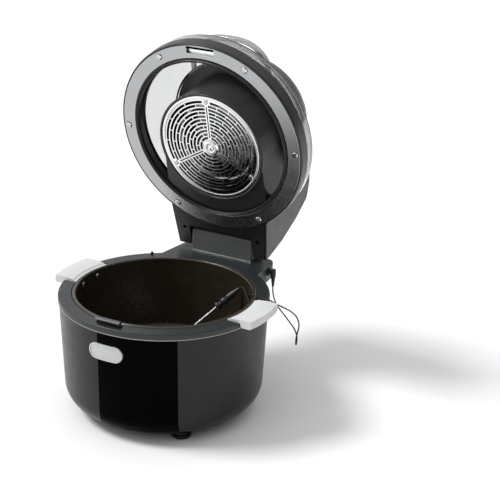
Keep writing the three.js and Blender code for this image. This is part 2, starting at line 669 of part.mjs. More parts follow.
function heaterCoil() {
  const loop = [];
  for (let i = 0; i < 6; i += 1) {
    loop.push(ellipsePoint(64, LID_Z + 20, 3.3, 3.3, i * 60));
  }
  const ring = turned(loop, { sides: 24, y: FAN_Y });
  const legs = bothSides((s) => uprightHole([s * 12, FAN_Y + 62.8], 2, LID_Z + 20, LID_Z + 57));
  return unite(ring, legs);
}

function radialBlades(count, r0, r1, z0, z1, thickness) {
  const blades = [];
  for (let i = 0; i < count; i += 1) {
    blades.push(box(-thickness / 2, thickness / 2, r0, r1, LID_Z + z0, LID_Z + z1)
      .rotate([0, 0, (i * 360) / count]).translate([0, FAN_Y, 0]));
  }
  return blades;
}

function fanWheel(count, wheelR, hubR, z0, z1, bladeZ0) {
  const back = disc(wheelR, LID_Z + z1 - 1.6, LID_Z + z1, { sides: 24, y: FAN_Y });
  const hub = disc(hubR, LID_Z + z0, LID_Z + z1, { sides: SMALL_SIDES, y: FAN_Y });
  const blades = radialBlades(count, hubR - 1, wheelR - 1, bladeZ0, z1 - 1, 1.4);
  return cut(unite(back, hub, ...blades),
    uprightHole([0, FAN_Y], 3.3, LID_Z + z0 - 5, LID_Z + z1 + 5));
}

const impeller = () => fanWheel(10, 52, 9, 29, 46, 32);
const coolingFan = () => fanWheel(7, 38, 9, 104, 115, 106);
const motorShaft = () => uprightHole([0, FAN_Y], 3, LID_Z + 28, LID_Z + 118);

function fanMotor() {
  const can = disc(27, LID_Z + 61.3, LID_Z + 100, { sides: 24, y: FAN_Y });
  const core = box(-34, 34, FAN_Y - 12, FAN_Y + 12, LID_Z + 70, LID_Z + 90);
  return cut(unite(can, core), uprightHole([0, FAN_Y], 4.2, LID_Z + 50, LID_Z + 110));
}

// ---------------------------------------------------------------- assembly
const base = new THREE.Group();
base.add(
  piece('base_shell', baseShell(), satinBlack),
  piece('bottom_cover', bottomCover(), innerBlack),
  piece('deck', deck(), deckSlate),
  piece('shelf_cover', shelfCover(), satinBlack),
  piece('trim_ring', trimRing(), chrome),
  piece('control_panel', controlPanel(), glossBlack),
  piece('inner_liner', innerLiner(), aluminium),
  piece('heating_plate', heatingPlate(), aluminium),
  piece('control_board', controlBoard(), board),
  piece('power_board', powerBoard(), board),
  piece('power_inlet', powerInlet(), innerBlack),
  piece('probe_socket', probeSocket(), innerBlack),
  piece('hinge_cover', hingeCover(), greyPlate),
  piece('hinge_bracket', hingeBracket(), steel),
  piece('hinge_pin_left', hingePin(-1), steel),
  piece('hinge_pin_right', hingePin(1), steel),
  piece('hinge_spring_left', hingeSpring(-1), steel),
  piece('hinge_spring_right', hingeSpring(1), steel),
  piece('release_button', releaseButton(), silver),
  piece('button_spring', buttonSpring(), steel),
  piece('latch_hook', latchHook(), innerBlack),
  piece('lid_switch_pin', lidSwitchPin(), innerBlack),
  piece('sensor_puck', sensorPuck(), aluminium),
  piece('sensor_spring', sensorSpring(), steel),
);
const feet = { front_left: -45, front_right: 45, rear_left: -135, rear_right: 135 };
for (const [place, degrees] of Object.entries(feet)) {
  base.add(piece(`foot_${place}`, foot(degrees), rubber));
}

const cooking = new THREE.Group();
cooking.add(
  piece('pot', pot(), nonStick),
  piece('pot_handle_left', potHandle(-1), greyGrip),
  piece('pot_handle_right', potHandle(1), greyGrip),
  piece('probe_needle', probeNeedle(), steel),
  piece('probe_handle', probeHandle(), innerBlack),
  piece('probe_plug', probePlug(), innerBlack),
  piece('probe_cable_inner', cableStretch(CABLE_IN_POT), rubber),
  piece('probe_cable_middle', cableStretch(CABLE_OVER_DECK), rubber),
  piece('probe_cable_outer', cableStretch(CABLE_TO_PLUG), rubber),
);

const lid = new THREE.Group();
lid.add(
  piece('lid_ring', lidRing(), steel),
  piece('lid_frame', lidFrame(), satinBlack),
  piece('lid_gasket', lidGasket(), rubber),
  piece('lid_glass', lidGlass(), smokedGlass),
  piece('top_housing', topHousing(), satinBlack),
  piece('lid_handle', lidHandle(), silver),
  piece('fan_housing', fanHousing(), innerBlack),
  piece('grille', grille(), chrome),
  piece('heater_coil', heaterCoil(), steel),
  piece('fan_motor', fanMotor(), steel),
  piece('motor_shaft', motorShaft(), steel),
  piece('impeller', impeller(), aluminium),
  piece('cooling_fan', coolingFan(), innerBlack),
);
lidScrewAngles.forEach((degrees, i) => {
  lid.add(piece(`lid_screw_${i + 1}`, screw(screwPoint(degrees), 4.8, LID_Z - 1.7, 10), chrome));
});
grilleScrewAngles.forEach((degrees, i) => {
  const shape = screw(grilleScrewPoint(degrees), 3.6, LID_Z - 1.2, 12);
  lid.add(piece(`grille_screw_${i + 1}`, shape, chrome));
});
lid.position.set(0, -HINGE_Y, -HINGE_Z);
const lidSwing = new THREE.Group();
lidSwing.position.set(0, HINGE_Y, HINGE_Z);
lidSwing.rotation.x = -LID_OPEN;
lidSwing.add(lid);

const product = new THREE.Group();
product.add(base, cooking, lidSwing);
product.position.y = CENTRE_Y;

export default product;
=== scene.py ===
"""Looks of a countertop air fryer and multicooker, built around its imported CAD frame.

Lengths are in millimetres in the drum's own frame (origin under the drum's axis, front at -Y,
+Z up, lid pieces drawn shut) unless a name ends in _M. DRUM and LID place them in the row frame.
"""
import math

import bmesh
import bpy
from mathutils import Matrix, Vector


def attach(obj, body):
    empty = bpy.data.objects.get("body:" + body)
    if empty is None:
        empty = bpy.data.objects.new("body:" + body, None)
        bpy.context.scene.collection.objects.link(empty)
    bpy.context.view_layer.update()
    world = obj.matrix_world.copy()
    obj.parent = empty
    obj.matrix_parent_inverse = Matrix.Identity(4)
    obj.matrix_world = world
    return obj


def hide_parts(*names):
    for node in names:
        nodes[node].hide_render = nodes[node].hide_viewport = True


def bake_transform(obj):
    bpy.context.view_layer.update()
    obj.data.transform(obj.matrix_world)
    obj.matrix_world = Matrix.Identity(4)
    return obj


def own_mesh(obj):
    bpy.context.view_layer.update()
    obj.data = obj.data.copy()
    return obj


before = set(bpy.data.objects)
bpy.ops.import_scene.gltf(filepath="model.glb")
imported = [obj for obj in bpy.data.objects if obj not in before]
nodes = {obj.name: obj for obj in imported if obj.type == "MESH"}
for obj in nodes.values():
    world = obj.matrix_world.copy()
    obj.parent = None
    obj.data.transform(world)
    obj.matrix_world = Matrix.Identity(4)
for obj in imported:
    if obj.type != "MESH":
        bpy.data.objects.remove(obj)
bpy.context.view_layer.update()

# ------------------------------------------------------------------ dimensions shared with the CAD
MM = 0.001
SLIVER_M = 4e-6  # edges shorter than this are dropped from a finished piece
CENTRE_Y = -72.5
WALL_R_LOW, WALL_R_HIGH = 152.2, 158.6
CURVE_Z, DRUM_BOTTOM, DRUM_TOP = 46, 9, 173.8
CURVE_R = 38
WALL_THICK = 2.8
DECK_Z, DECK_R, BORE_R = 185.3, 160, 139.9
SHELF_BACK, SHELF_BOTTOM = 200, 158.5
POT_R, RIM_R, POT_TOP = 133.4, 139.3, 186.5
GRIP_REACH = 178
HINGE_Y, HINGE_Z = 190.4, 210.2
LID_OPEN = math.radians(77.2)
LID_Z = 190.3
LID_R = 159
RING_OUT, RING_IN = 156.2, 134.6
FAN_Y, CASE_R = 15, 88
DOME_R, DOME_TOP = 111, 150
BUTTON_Z, BUTTON_HALF_W, BUTTON_HALF_H = 145, 28.5, 12.2
PANEL_MID, PANEL_HALF, PANEL_BOTTOM = 17, 22, 17.5
DRUM_OPEN_R = 98
FOOT_CIRCLE_R = 116
INLET_Z = 61
KNUCKLE_IN = 57.8
GLASS_TOP = 80
PLUG_X, SOCKET_Y, SOCKET_Z = 91.5, 178, 175
CABLE_R = 1.1
SCREW_R, GRILLE_SCREW_R = 147.9, 78
SWITCH_X, SWITCH_Y = -97.8, 117.5
BUTTON_GAP = 0.45
DECK_UNDERSIDE = 180.2
STAND_UP = Matrix.Rotation(math.pi / 2, 4, "X")  # turns a plan into a front view


def shift(x, y, z):
    return Matrix.Translation((x * MM, y * MM, z * MM))


DRUM = shift(0, CENTRE_Y, 0)
LID = (DRUM @ shift(0, HINGE_Y, HINGE_Z) @ Matrix.Rotation(-LID_OPEN, 4, "X")
       @ shift(0, -HINGE_Y, -HINGE_Z))
RING_CENTRE = LID @ shift(0, 0, LID_Z)
GRILLE_CENTRE = LID @ shift(0, FAN_Y, LID_Z)

# ------------------------------------------------------------------ camera, floor and light
VIEW_TARGET_M = DRUM @ Vector((0.14543, 0, 0.29704))
VIEW_AZIMUTH, VIEW_ELEVATION, VIEW_ROLL = (math.radians(a) for a in (28.7075, 20.7129, 1.4077))
VIEW_DISTANCE_M = 2.0691
LENS, SENSOR = 103.5, 36
VIEW_CLIP_M = 1000
FLOOR_HALF, FLOOR_DEPTH = 300000, 20
SUN_FROM = (-0.55, -0.28, 0.78)
SUN_STRENGTH, SUN_SOFTNESS = 2.3, 20
SKY_TOWARD = (-0.5, 0.2, 0.84)
SKY_DARK, SKY_BRIGHT = 0.15, 0.85
SKY_DARK_BELOW, SKY_BRIGHT_ABOVE = -0.55, 0.75  # cosines of the angle to SKY_TOWARD


def add_camera():
    back = Vector((math.sin(VIEW_AZIMUTH) * math.cos(VIEW_ELEVATION),
                   -math.cos(VIEW_AZIMUTH) * math.cos(VIEW_ELEVATION),
                   math.sin(VIEW_ELEVATION)))
    data = bpy.data.cameras.new("camera")
    data.lens = LENS
    data.sensor_width = SENSOR
    data.clip_end = VIEW_CLIP_M
    camera = bpy.data.objects.new("camera", data)
    bpy.context.scene.collection.objects.link(camera)
    turn = (-back).to_track_quat("-Z", "Y").to_matrix().to_4x4()
    camera.matrix_world = (Matrix.Translation(VIEW_TARGET_M + back * VIEW_DISTANCE_M) @ turn
                           @ Matrix.Rotation(VIEW_ROLL, 4, "Z"))
    bpy.context.scene.camera = camera


add_camera()


def add_floor_and_light():
    """A wide white floor under a sky that is bright above and to the left, and a soft sun."""
    floor = box(-FLOOR_HALF, FLOOR_HALF, -FLOOR_HALF, FLOOR_HALF, -FLOOR_DEPTH, 0)
    floor.name = floor.data.name = "floor"
    floor.data.transform(Matrix.Scale(MM, 4))
    floor.data.materials.append(
        surface("floor_white", (0.9, 0.9, 0.9), 0.7, tint=0.005, tint_scale=0.5, grain=0.01,
                grain_scale=50, specular=0.2))
    world = bpy.data.worlds.new("studio")
    world.use_nodes = True
    tree = world.node_tree
    new, link = tree.nodes.new, tree.links.new
    direction = new("ShaderNodeTexCoord")
    toward = new("ShaderNodeVectorMath")
    toward.operation = "DOT_PRODUCT"
    toward.inputs[1].default_value = SKY_TOWARD
    link(direction.outputs["Generated"], toward.inputs[0])
    ramp = new("ShaderNodeMapRange")
    ramp.interpolation_type = "SMOOTHSTEP"
    ramp.inputs["From Min"].default_value = SKY_DARK_BELOW
    ramp.inputs["From Max"].default_value = SKY_BRIGHT_ABOVE
    ramp.inputs["To Min"].default_value = SKY_DARK
    ramp.inputs["To Max"].default_value = SKY_BRIGHT
    link(toward.outputs["Value"], ramp.inputs["Value"])
    background = tree.nodes["Background"]
    background.inputs["Color"].default_value = (1, 1, 1, 1)
    link(ramp.outputs["Result"], background.inputs["Strength"])
    bpy.context.scene.world = world
    bpy.context.scene.view_settings.view_transform = "Standard"
    sun = bpy.data.lights.new("sun", "SUN")
    sun.energy = SUN_STRENGTH
    sun.angle = math.radians(SUN_SOFTNESS)
    lamp = bpy.data.objects.new("sun", sun)
    bpy.context.scene.collection.objects.link(lamp)
    lamp.rotation_euler = (-Vector(SUN_FROM)).to_track_quat("-Z", "Y").to_euler()


# ------------------------------------------------------------------ mesh helpers
def rounded(outline, steps=3):
    """A closed outline whose third numbers round its corners: (a, b, radius)."""
    made = []
    count = len(outline)
    for i, corner in enumerate(outline):
        here = Vector(corner[:2])
        radius = corner[2] if len(corner) > 2 else 0
        if not radius:
            made.append(tuple(here))
            continue
        before = Vector(outline[i - 1][:2]) - here
        after = Vector(outline[(i + 1) % count][:2]) - here
        half = before.angle(after) / 2
        reach = min(radius / math.tan(half), before.length * 0.49, after.length * 0.49)
        a = here + before.normalized() * reach
        b = here + after.normalized() * reach
        for k in range(steps + 1):
            t = k / steps
            made.append(tuple(a.lerp(here, t).lerp(here.lerp(b, t), t)))
    return made


def to_object(bm):
    bmesh.ops.remove_doubles(bm, verts=bm.verts, dist=1e-4)
    bmesh.ops.recalc_face_normals(bm, faces=bm.faces)
    mesh = bpy.data.meshes.new("tool")
    bm.to_mesh(mesh)
    bm.free()
    obj = bpy.data.objects.new("tool", mesh)
    bpy.context.scene.collection.objects.link(obj)
    return obj


def around(r, z, degrees, y=0):
    """A point on a circle about the drum's axis, at an angle from the front towards +X."""
    angle = math.radians(degrees)
    return Vector((r * math.sin(angle), y - r * math.cos(angle), z))


def lathe(outline, sides=192, y=0, steps=3):
    """A closed (radius, height) outline turned about a vertical axis."""
    points = rounded(outline, steps)
    bm = bmesh.new()
    spokes = [[bm.verts.new(around(r, z, 360 * i / sides, y)) for r, z in points]
              for i in range(sides)]
    size = len(points)
    for i in range(sides):
        near, far = spokes[i], spokes[(i + 1) % sides]
        for k in range(size):
            n = (k + 1) % size
            if points[k][0] < 1e-6 and points[n][0] < 1e-6:
                continue
            bm.faces.new((near[k], far[k], far[n], near[n]))
    return to_object(bm)


def prism(outline, z0, z1, edge=0, steps=2):
    """A closed (x, y) outline raised from z0 to z1, its top and bottom edges rounded by edge."""
    bm = bmesh.new()
    low = [bm.verts.new((p[0], p[1], z0)) for p in outline]
    high = [bm.verts.new((p[0], p[1], z1)) for p in outline]
    count = len(outline)
    caps = [bm.faces.new(low), bm.faces.new(high)]
    for i in range(count):
        n = (i + 1) % count
        bm.faces.new((low[i], low[n], high[n], high[i]))
    if edge:
        rims = {e for f in caps for e in f.edges}
        bmesh.ops.bevel(bm, geom=list(rims), offset=edge, segments=steps, profile=0.5,
                        affect="EDGES", clamp_overlap=True)
    return to_object(bm)


TO_SIDE = Matrix(((0, 0, 1, 0), (1, 0, 0, 0), (0, 1, 0, 0), (0, 0, 0, 1)))


def across(outline, x0, x1, edge=0):
    """A (y, z) outline carried from x0 to x1."""
    obj = prism(outline, x0, x1, edge)
    obj.data.transform(TO_SIDE)
    return obj


def box(x0, x1, y0, y1, z0, z1, edge=0):
    return prism([(x0, y0), (x1, y0), (x1, y1), (x0, y1)], z0, z1, edge)


def round_rect(x0, x1, y0, y1, r, steps=8):
    """A rectangle's outline with quarter circles at its corners."""
    made = []
    for cx, cy, turn in ((x0 + r, y0 + r, 180), (x1 - r, y0 + r, 270), (x1 - r, y1 - r, 0),
                         (x0 + r, y1 - r, 90)):
        for k in range(steps + 1):
            a = math.radians(turn + 90 * k / steps)
            made.append((cx + r * math.cos(a), cy + r * math.sin(a)))
    return made


def frame_matrix(start, end):
    """Puts local +Z on the line from start to end, with its origin at start."""
    start, end = Vector(start), Vector(end)
    turn = Vector((0, 0, 1)).rotation_difference(end - start).to_matrix().to_4x4()
    return Matrix.Translation(start) @ turn


def spindle(start, end, outline, sides=32):
    """A (radius, distance) outline turned about the line from start to end."""
    obj = lathe(outline, sides)
    obj.data.transform(frame_matrix(start, end))
    return obj


def rod(start, end, r, sides=24):
    length = (Vector(end) - Vector(start)).length
    return spindle(start, end, [(0, 0), (r, 0), (r, length), (0, length)], sides)


def column(r, z0, z1, sides=288, y=0):
    """A round block about a vertical axis."""
    return lathe([(0, z0), (r, z0), (r, z1), (0, z1)], sides, y=y)


def smooth_path(points, per_span=6):
    """A Catmull-Rom curve through the points."""
    pts = [Vector(p) for p in points]
    pts = [pts[0] * 2 - pts[1], *pts, pts[-1] * 2 - pts[-2]]
    made = []
    for i in range(1, len(pts) - 2):
        a, b, c, d = pts[i - 1:i + 3]
        for k in range(per_span):
            t = k / per_span
            made.append((b * 2 + (c - a) * t + (a * 2 - b * 5 + c * 4 - d) * t ** 2
                         + (b * 3 - a - c * 3 + d) * t ** 3) / 2)
    made.append(pts[-2])
    return made


def sweep(path, section, up):
    """A section of (side, up) points carried along an open path."""
    bm = bmesh.new()
    last = len(path) - 1
    rings = []
    lift = Vector(up)
    for i, p in enumerate(path):
        along = (path[min(i + 1, last)] - path[max(i - 1, 0)]).normalized()
        side = along.cross(lift).normalized()
        lift = side.cross(along).normalized()
        rings.append([bm.verts.new(p + side * a + lift * b) for a, b in section])
    size = len(section)
    for near, far in zip(rings, rings[1:]):
        for k in range(size):
            bm.faces.new((near[k], near[(k + 1) % size], far[(k + 1) % size], far[k]))
    bm.faces.new(rings[0])
    bm.faces.new(rings[-1])
    return to_object(bm)


def circle(radius, sides):
    return [(radius * math.cos(a), radius * math.sin(a))
            for a in (2 * math.pi * i / sides for i in range(sides))]


def tube(points, radius, sides, up=(0, 0, 1)):
    return sweep([Vector(p) for p in points], circle(radius, sides), up)


def apply_modifiers(obj):
    graph = bpy.context.evaluated_depsgraph_get()
    mesh = bpy.data.meshes.new_from_object(obj.evaluated_get(graph))
    obj.modifiers.clear()
    obj.data = mesh


def combine(obj, tools, operation):
    for tool in tools:
        modifier = obj.modifiers.new("combine", "BOOLEAN")
        modifier.operation = operation
        modifier.solver = "MANIFOLD"
        modifier.object = tool
        apply_modifiers(obj)
        bpy.data.objects.remove(tool)
    return obj


def cut(obj, *tools):
    return combine(obj, tools, "DIFFERENCE")


def unite(obj, *tools):
    return combine(obj, tools, "UNION")


def keep(obj, *tools):
    return combine(obj, tools, "INTERSECT")


def soften(obj, width, angle=40, segments=2):
    """Rounds every edge sharper than the angle."""
    modifier = obj.modifiers.new("soften", "BEVEL")
    modifier.limit_method = "ANGLE"
    modifier.angle_limit = math.radians(angle)
    modifier.width = width
    modifier.segments = segments
    modifier.use_clamp_overlap = True
    apply_modifiers(obj)
    return obj


def shade(mesh, sharp=34):
    """Drops slivers that the cuts left, and sets which edges look sharp."""
    bm = bmesh.new()
    bm.from_mesh(mesh)
    bmesh.ops.dissolve_degenerate(bm, dist=SLIVER_M, edges=bm.edges)
    for face in bm.faces:
        face.smooth = True
    for edge in bm.edges:
        edge.smooth = len(edge.link_faces) == 2 and edge.calc_face_angle() < math.radians(sharp)
    bm.to_mesh(mesh)
    bm.free()


def place(obj, name, body, material, slot, *replaced, at=DRUM, sharp=34, weighted=True):
    """Gives a finished piece its name, scale, finish and body. material is a name in MATERIALS."""
    obj.name = obj.data.name = name
    obj.data.transform(Matrix.Scale(MM, 4))
    shade(obj.data, sharp)
    obj.data.materials.clear()
    obj.data.materials.append(MATERIALS[material])
    if at is LID:
        obj.data.transform(at)
    else:
        obj.matrix_world = at
    if weighted:
        normals = obj.modifiers.new("normals", "WEIGHTED_NORMAL")
        normals.keep_sharp = True
    if body:
        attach(obj, body)
    if replaced:
        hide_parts(*replaced)
    return obj


# ------------------------------------------------------------------ materials
NOISE_LOW, NOISE_HIGH = 0.3, 0.7
GLOSS_FINENESS = 2.3
EDGE_LOW, EDGE_HIGH = 0.53, 0.6
WORN_GAIN, WORN_LIFT = 1.5, 0.03
BUMP_M = 0.0002


def spun_about(tree, coordinates, centre):
    """Turns row-frame coordinates into those of the frame centre."""
    if centre is None:
        return coordinates
    back = centre.inverted()
    mapping = tree.nodes.new("ShaderNodeMapping")
    mapping.inputs["Location"].default_value = back.to_translation()
    mapping.inputs["Rotation"].default_value = back.to_euler()
    tree.links.new(coordinates, mapping.inputs["Vector"])
    return mapping.outputs["Vector"]


def surface(name, color, rough, metal=0.0, tint=0.06, tint_scale=30, grain=0.15, grain_scale=1800,
            rough_spread=0.06, coat=0.0, coat_rough=0.08, wear=0.0, specular=0.5, turned=0.0,
            turned_scale=900, centre=None, brushed=0.0):
    """A Principled material with cloudy colour, uneven gloss and a fine bump. wear lightens its
    edges, turned adds the concentric tool lines of a surface spun about the Z axis of the frame
    centre, and brushed stretches its highlights across them."""
    material = bpy.data.materials.new(name)
    material.use_nodes = True
    tree = material.node_tree
    new, link = tree.nodes.new, tree.links.new
    shader = tree.nodes["Principled BSDF"]
    shader.inputs["Metallic"].default_value = metal
    shader.inputs["Coat Weight"].default_value = coat
    shader.inputs["Coat Roughness"].default_value = coat_rough
    shader.inputs["Specular IOR Level"].default_value = specular
    coordinates = new("ShaderNodeTexCoord")

    def noise(scale, detail=3):
        node = new("ShaderNodeTexNoise")
        node.inputs["Scale"].default_value = scale
        node.inputs["Detail"].default_value = detail
        link(coordinates.outputs["Object"], node.inputs["Vector"])
        return node

    def spread(source, low, high):
        node = new("ShaderNodeMapRange")
        node.inputs["From Min"].default_value = NOISE_LOW
        node.inputs["From Max"].default_value = NOISE_HIGH
        node.inputs["To Min"].default_value = low
        node.inputs["To Max"].default_value = high
        link(source, node.inputs["Value"])
        return node.outputs["Result"]

    clouds = noise(tint_scale)
    ramp = new("ShaderNodeValToRGB")
    for stop, factor, at in zip(ramp.color_ramp.elements, (1 - tint, 1 + tint),
                                (NOISE_LOW, NOISE_HIGH)):
        stop.position = at
        stop.color = (*(min(1, c * factor) for c in color), 1)
    link(clouds.outputs["Fac"], ramp.inputs["Fac"])
    color_out = ramp.outputs["Color"]
    if brushed:
        outward = new("ShaderNodeVectorMath")
        outward.operation = "SUBTRACT"
        outward.inputs[1].default_value = centre.to_translation()
        link(coordinates.outputs["Object"], outward.inputs[0])
        along = new("ShaderNodeVectorMath")
        along.operation = "CROSS_PRODUCT"
        link(coordinates.outputs["Normal"], along.inputs[0])
        link(outward.outputs["Vector"], along.inputs[1])
        link(along.outputs["Vector"], shader.inputs["Tangent"])
        shader.inputs["Anisotropic"].default_value = brushed
    if wear:
        edge = new("ShaderNodeNewGeometry")
        rim = new("ShaderNodeMapRange")
        rim.inputs["From Min"].default_value = EDGE_LOW
        rim.inputs["From Max"].default_value = EDGE_HIGH
        rim.inputs["To Max"].default_value = wear
        link(edge.outputs["Pointiness"], rim.inputs["Value"])
        mix = new("ShaderNodeMix")
        mix.data_type = "RGBA"
        link(rim.outputs["Result"], mix.inputs["Factor"])
        link(color_out, mix.inputs["A"])
        worn = [min(1, c * WORN_GAIN + WORN_LIFT) for c in color]
        mix.inputs["B"].default_value = (*worn, 1)
        color_out = mix.outputs["Result"]
    link(color_out, shader.inputs["Base Color"])
    gloss = noise(tint_scale * GLOSS_FINENESS, 4)
    link(spread(gloss.outputs["Fac"], max(0.02, rough - rough_spread), rough + rough_spread),
         shader.inputs["Roughness"])
    height = noise(grain_scale, 2).outputs["Fac"]
    if turned:
        flat = new("ShaderNodeVectorMath")
        flat.operation = "MULTIPLY"
        flat.inputs[1].default_value = (1, 1, 0)
        link(spun_about(tree, coordinates.outputs["Object"], centre), flat.inputs[0])
        radius = new("ShaderNodeVectorMath")
        radius.operation = "LENGTH"
        link(flat.outputs["Vector"], radius.inputs[0])
        rings = new("ShaderNodeTexNoise")
        rings.noise_dimensions = "1D"
        rings.inputs["Scale"].default_value = turned_scale
        rings.inputs["Detail"].default_value = 3
        link(radius.outputs["Value"], rings.inputs["W"])
        add = new("ShaderNodeMath")
        add.operation = "MULTIPLY_ADD"
        add.inputs[1].default_value = turned
        link(rings.outputs["Fac"], add.inputs[0])
        link(height, add.inputs[2])
        height = add.outputs["Value"]
    bump = new("ShaderNodeBump")
    bump.inputs["Strength"].default_value = grain
    bump.inputs["Distance"].default_value = BUMP_M
    link(height, bump.inputs["Height"])
    link(bump.outputs["Normal"], shader.inputs["Normal"])
    return material


def clear_glass(name, color, rough):
    material = surface(name, color, rough, tint=0.01, grain=0.02, rough_spread=0.01)
    shader = material.node_tree.nodes["Principled BSDF"]
    shader.inputs["Transmission Weight"].default_value = 1.0
    shader.inputs["IOR"].default_value = 1.45
    return material


MATERIALS = {
    "wall": surface("wall_satin", (0.005, 0.0054, 0.0058), 0.33, grain=0.08, tint=0.12, wear=0.1,
                    specular=0.3),
    "deck": surface("deck_slate", (0.0145, 0.018, 0.0195), 0.4, grain=0.3, grain_scale=1400,
                    wear=0.2),
    "panel": surface("panel_gloss", (0.0003, 0.0003, 0.0004), 0.06, grain=0.01,
                     rough_spread=0.02, specular=0.02),
    "frame": surface("lid_frame_satin", (0.008, 0.0085, 0.009), 0.34, grain=0.15, tint=0.12,
                     wear=0.15),
    "housing": surface("housing_satin", (0.019, 0.0205, 0.0215), 0.38, grain=0.3,
                       grain_scale=1300, tint=0.12, wear=0.15),
    "inner": surface("inner_black", (0.015, 0.016, 0.0168), 0.34, grain=0.2, tint=0.12,
                     wear=0.1),
    "silver": surface("silver_satin", (0.5, 0.51, 0.52), 0.34, metal=0.35, grain=0.05, tint=0.02,
                      coat=0.3, wear=0.1),
    "strap": surface("strap_metal", (0.46, 0.47, 0.48), 0.14, metal=0.9, grain=0.03, tint=0.03,
                     rough_spread=0.03),
    "ring": surface("ring_steel", (0.41, 0.42, 0.43), 0.27, metal=1.0, grain=0.02,
                    grain_scale=900, turned=1.0, tint=0.01, rough_spread=0.015, centre=RING_CENTRE,
                    brushed=0.7),
    "steel": surface("steel", (0.5, 0.51, 0.52), 0.25, metal=1.0, grain=0.15, tint=0.05),
    "chrome": surface("chrome", (0.66, 0.67, 0.68), 0.09, metal=1.0, grain=0.02, tint=0.02,
                      rough_spread=0.03),
    "grille": surface("grille_chrome", (0.86, 0.87, 0.88), 0.17, metal=1.0, grain=0.03, tint=0.02,
                      rough_spread=0.03, centre=GRILLE_CENTRE, brushed=0.6),
    "trim": surface("trim_metal", (0.3, 0.31, 0.32), 0.2, metal=1.0, grain=0.03, tint=0.03),
    "aluminium": surface("cast_aluminium", (0.4, 0.41, 0.42), 0.38, metal=1.0, grain=0.4,
                         grain_scale=700, turned=1.5, turned_scale=500),
    "pot": surface("pot_non_stick", (0.024, 0.019, 0.011), 0.28, grain=0.01, grain_scale=600,
                   tint=0.12, tint_scale=45, rough_spread=0.03, specular=0.6),
    "grip": surface("grip_silicone", (0.64, 0.65, 0.65), 0.5, grain=0.2, tint=0.03,
                    specular=0.35),
    "hinge": surface("hinge_grey", (0.07, 0.074, 0.075), 0.4, grain=0.5, grain_scale=900,
                     tint=0.12, wear=0.3),
    "rubber": surface("rubber_black", (0.008, 0.008, 0.0085), 0.6, grain=0.4, tint=0.15),
    "board": surface("circuit_board", (0.012, 0.08, 0.04), 0.35, grain=0.4, tint=0.2,
                     tint_scale=200),
    "glass": clear_glass("lid_glass", (0.7, 0.71, 0.715), 0.02),
    "gasket": surface("gasket_silicone", (0.008, 0.008, 0.0085), 0.42, grain=0.2, tint=0.1),
}

# ------------------------------------------------------------------ food probe and its cable
CABLE_IN_POT = [(70.2, 106.85, 167.3), (72.4, 107.6, 169.2), (75.7, 106, 170.6),
                (80, 102.7, 170.4), (86.5, 96.9, 168), (93.5, 90, 165), (100.2, 82.4, 163),
                (106, 74.8, 162.8), (111, 67.2, 164.8), (114.9, 60.5, 168.6),
                (117.3, 55.6, 173.2), (118.6, 52.8, 178), (119.1, 52, 182.2),
                (120.2, 51.8, 186.3), (122.4, 51.7, 188), (125.6, 51.5, 188.3),
                (131, 50.8, 188), (135.6, 50.2, 187.4)]
CABLE_OVER_DECK = [(136, 50.15, 187.35), (140, 49.8, 187), (144, 49.6, 186.8), (150, 49.6, 186.7),
                   (156, 49.9, 186.1), (162, 51.2, 183.4), (166, 55, 179.8), (169, 63.5, 174.1),
                   (171, 75, 166.6), (171.5, 89.6, 156.8), (170.5, 107.8, 142.2),
                   (168.4, 120.8, 127), (166.2, 126.4, 116.3), (163.6, 128.4, 107.2),
                   (161.4, 129.2, 99), (160.2, 129.8, 90.5)]
CABLE_TO_PLUG = [(160.15, 129.9, 90.1), (159.5, 131.3, 84.4), (158.1, 135.4, 81.3),
                 (156.7, 139.7, 83.6), (155.5, 142.6, 90.2), (152.4, 144.6, 97.2),
                 (145.4, 147.6, 104), (132, 154, 111.4), (119.1, 161, 117.3), (109, 166.4, 121.6),
                 (100.6, 171.6, 126.8), (94.9, 175.5, 134), (92, 177.6, 142.4),
                 (PLUG_X, SOCKET_Y, 150.6)]
PROBE_TIP, PROBE_COLLAR, PROBE_END = (-29.8, 25.3, 57.6), (42.3, 84.1, 136.7), (69.9, 106.6, 167)


def add_cable(name, route, bodies, reverse=False, **facts):
    """A stretch of the probe's cable, drawn as one fixed tube along a smooth curve through the
    route.
    """
    path = smooth_path(route)
    obj = tube(path, CABLE_R, 12)
    place(obj, name, None, "rubber", "rubber", name.replace("skin", "cable"), weighted=False)
    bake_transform(obj)


def add_probe():
    span = (Vector(PROBE_COLLAR) - Vector(PROBE_TIP)).length
    needle = spindle(PROBE_TIP, PROBE_COLLAR,
                     [(0, 0), (0.5, 0.3, 0.2), (1.5, 9, 2), (1.75, 14, 2), (1.75, span),
                      (0, span)])
    place(needle, "probe_rod", "probe", "steel", "steel", "probe_needle")
    length = (Vector(PROBE_END) - Vector(PROBE_COLLAR)).length
    grip = spindle(PROBE_COLLAR, PROBE_END, [
        (0, 0.6), (5.2, 0.6, 1), (7, 2.2, 1.2), (7, 5.6, 1.2), (5, 7, 1), (4.2, 9.2, 1),
        (4.2, 11, 1), (6.2, 13.6, 1.4), (6.2, 18.4, 1.4), (4.4, 21.4, 1.2), (5.6, 24.6, 2),
        (5.6, 30, 3), (3.6, length - 6, 2), (2.6, length - 0.4, 0.6), (0, length - 0.4)], 48)
    place(grip, "probe_grip", "probe", "inner", "inner_black", "probe_handle")


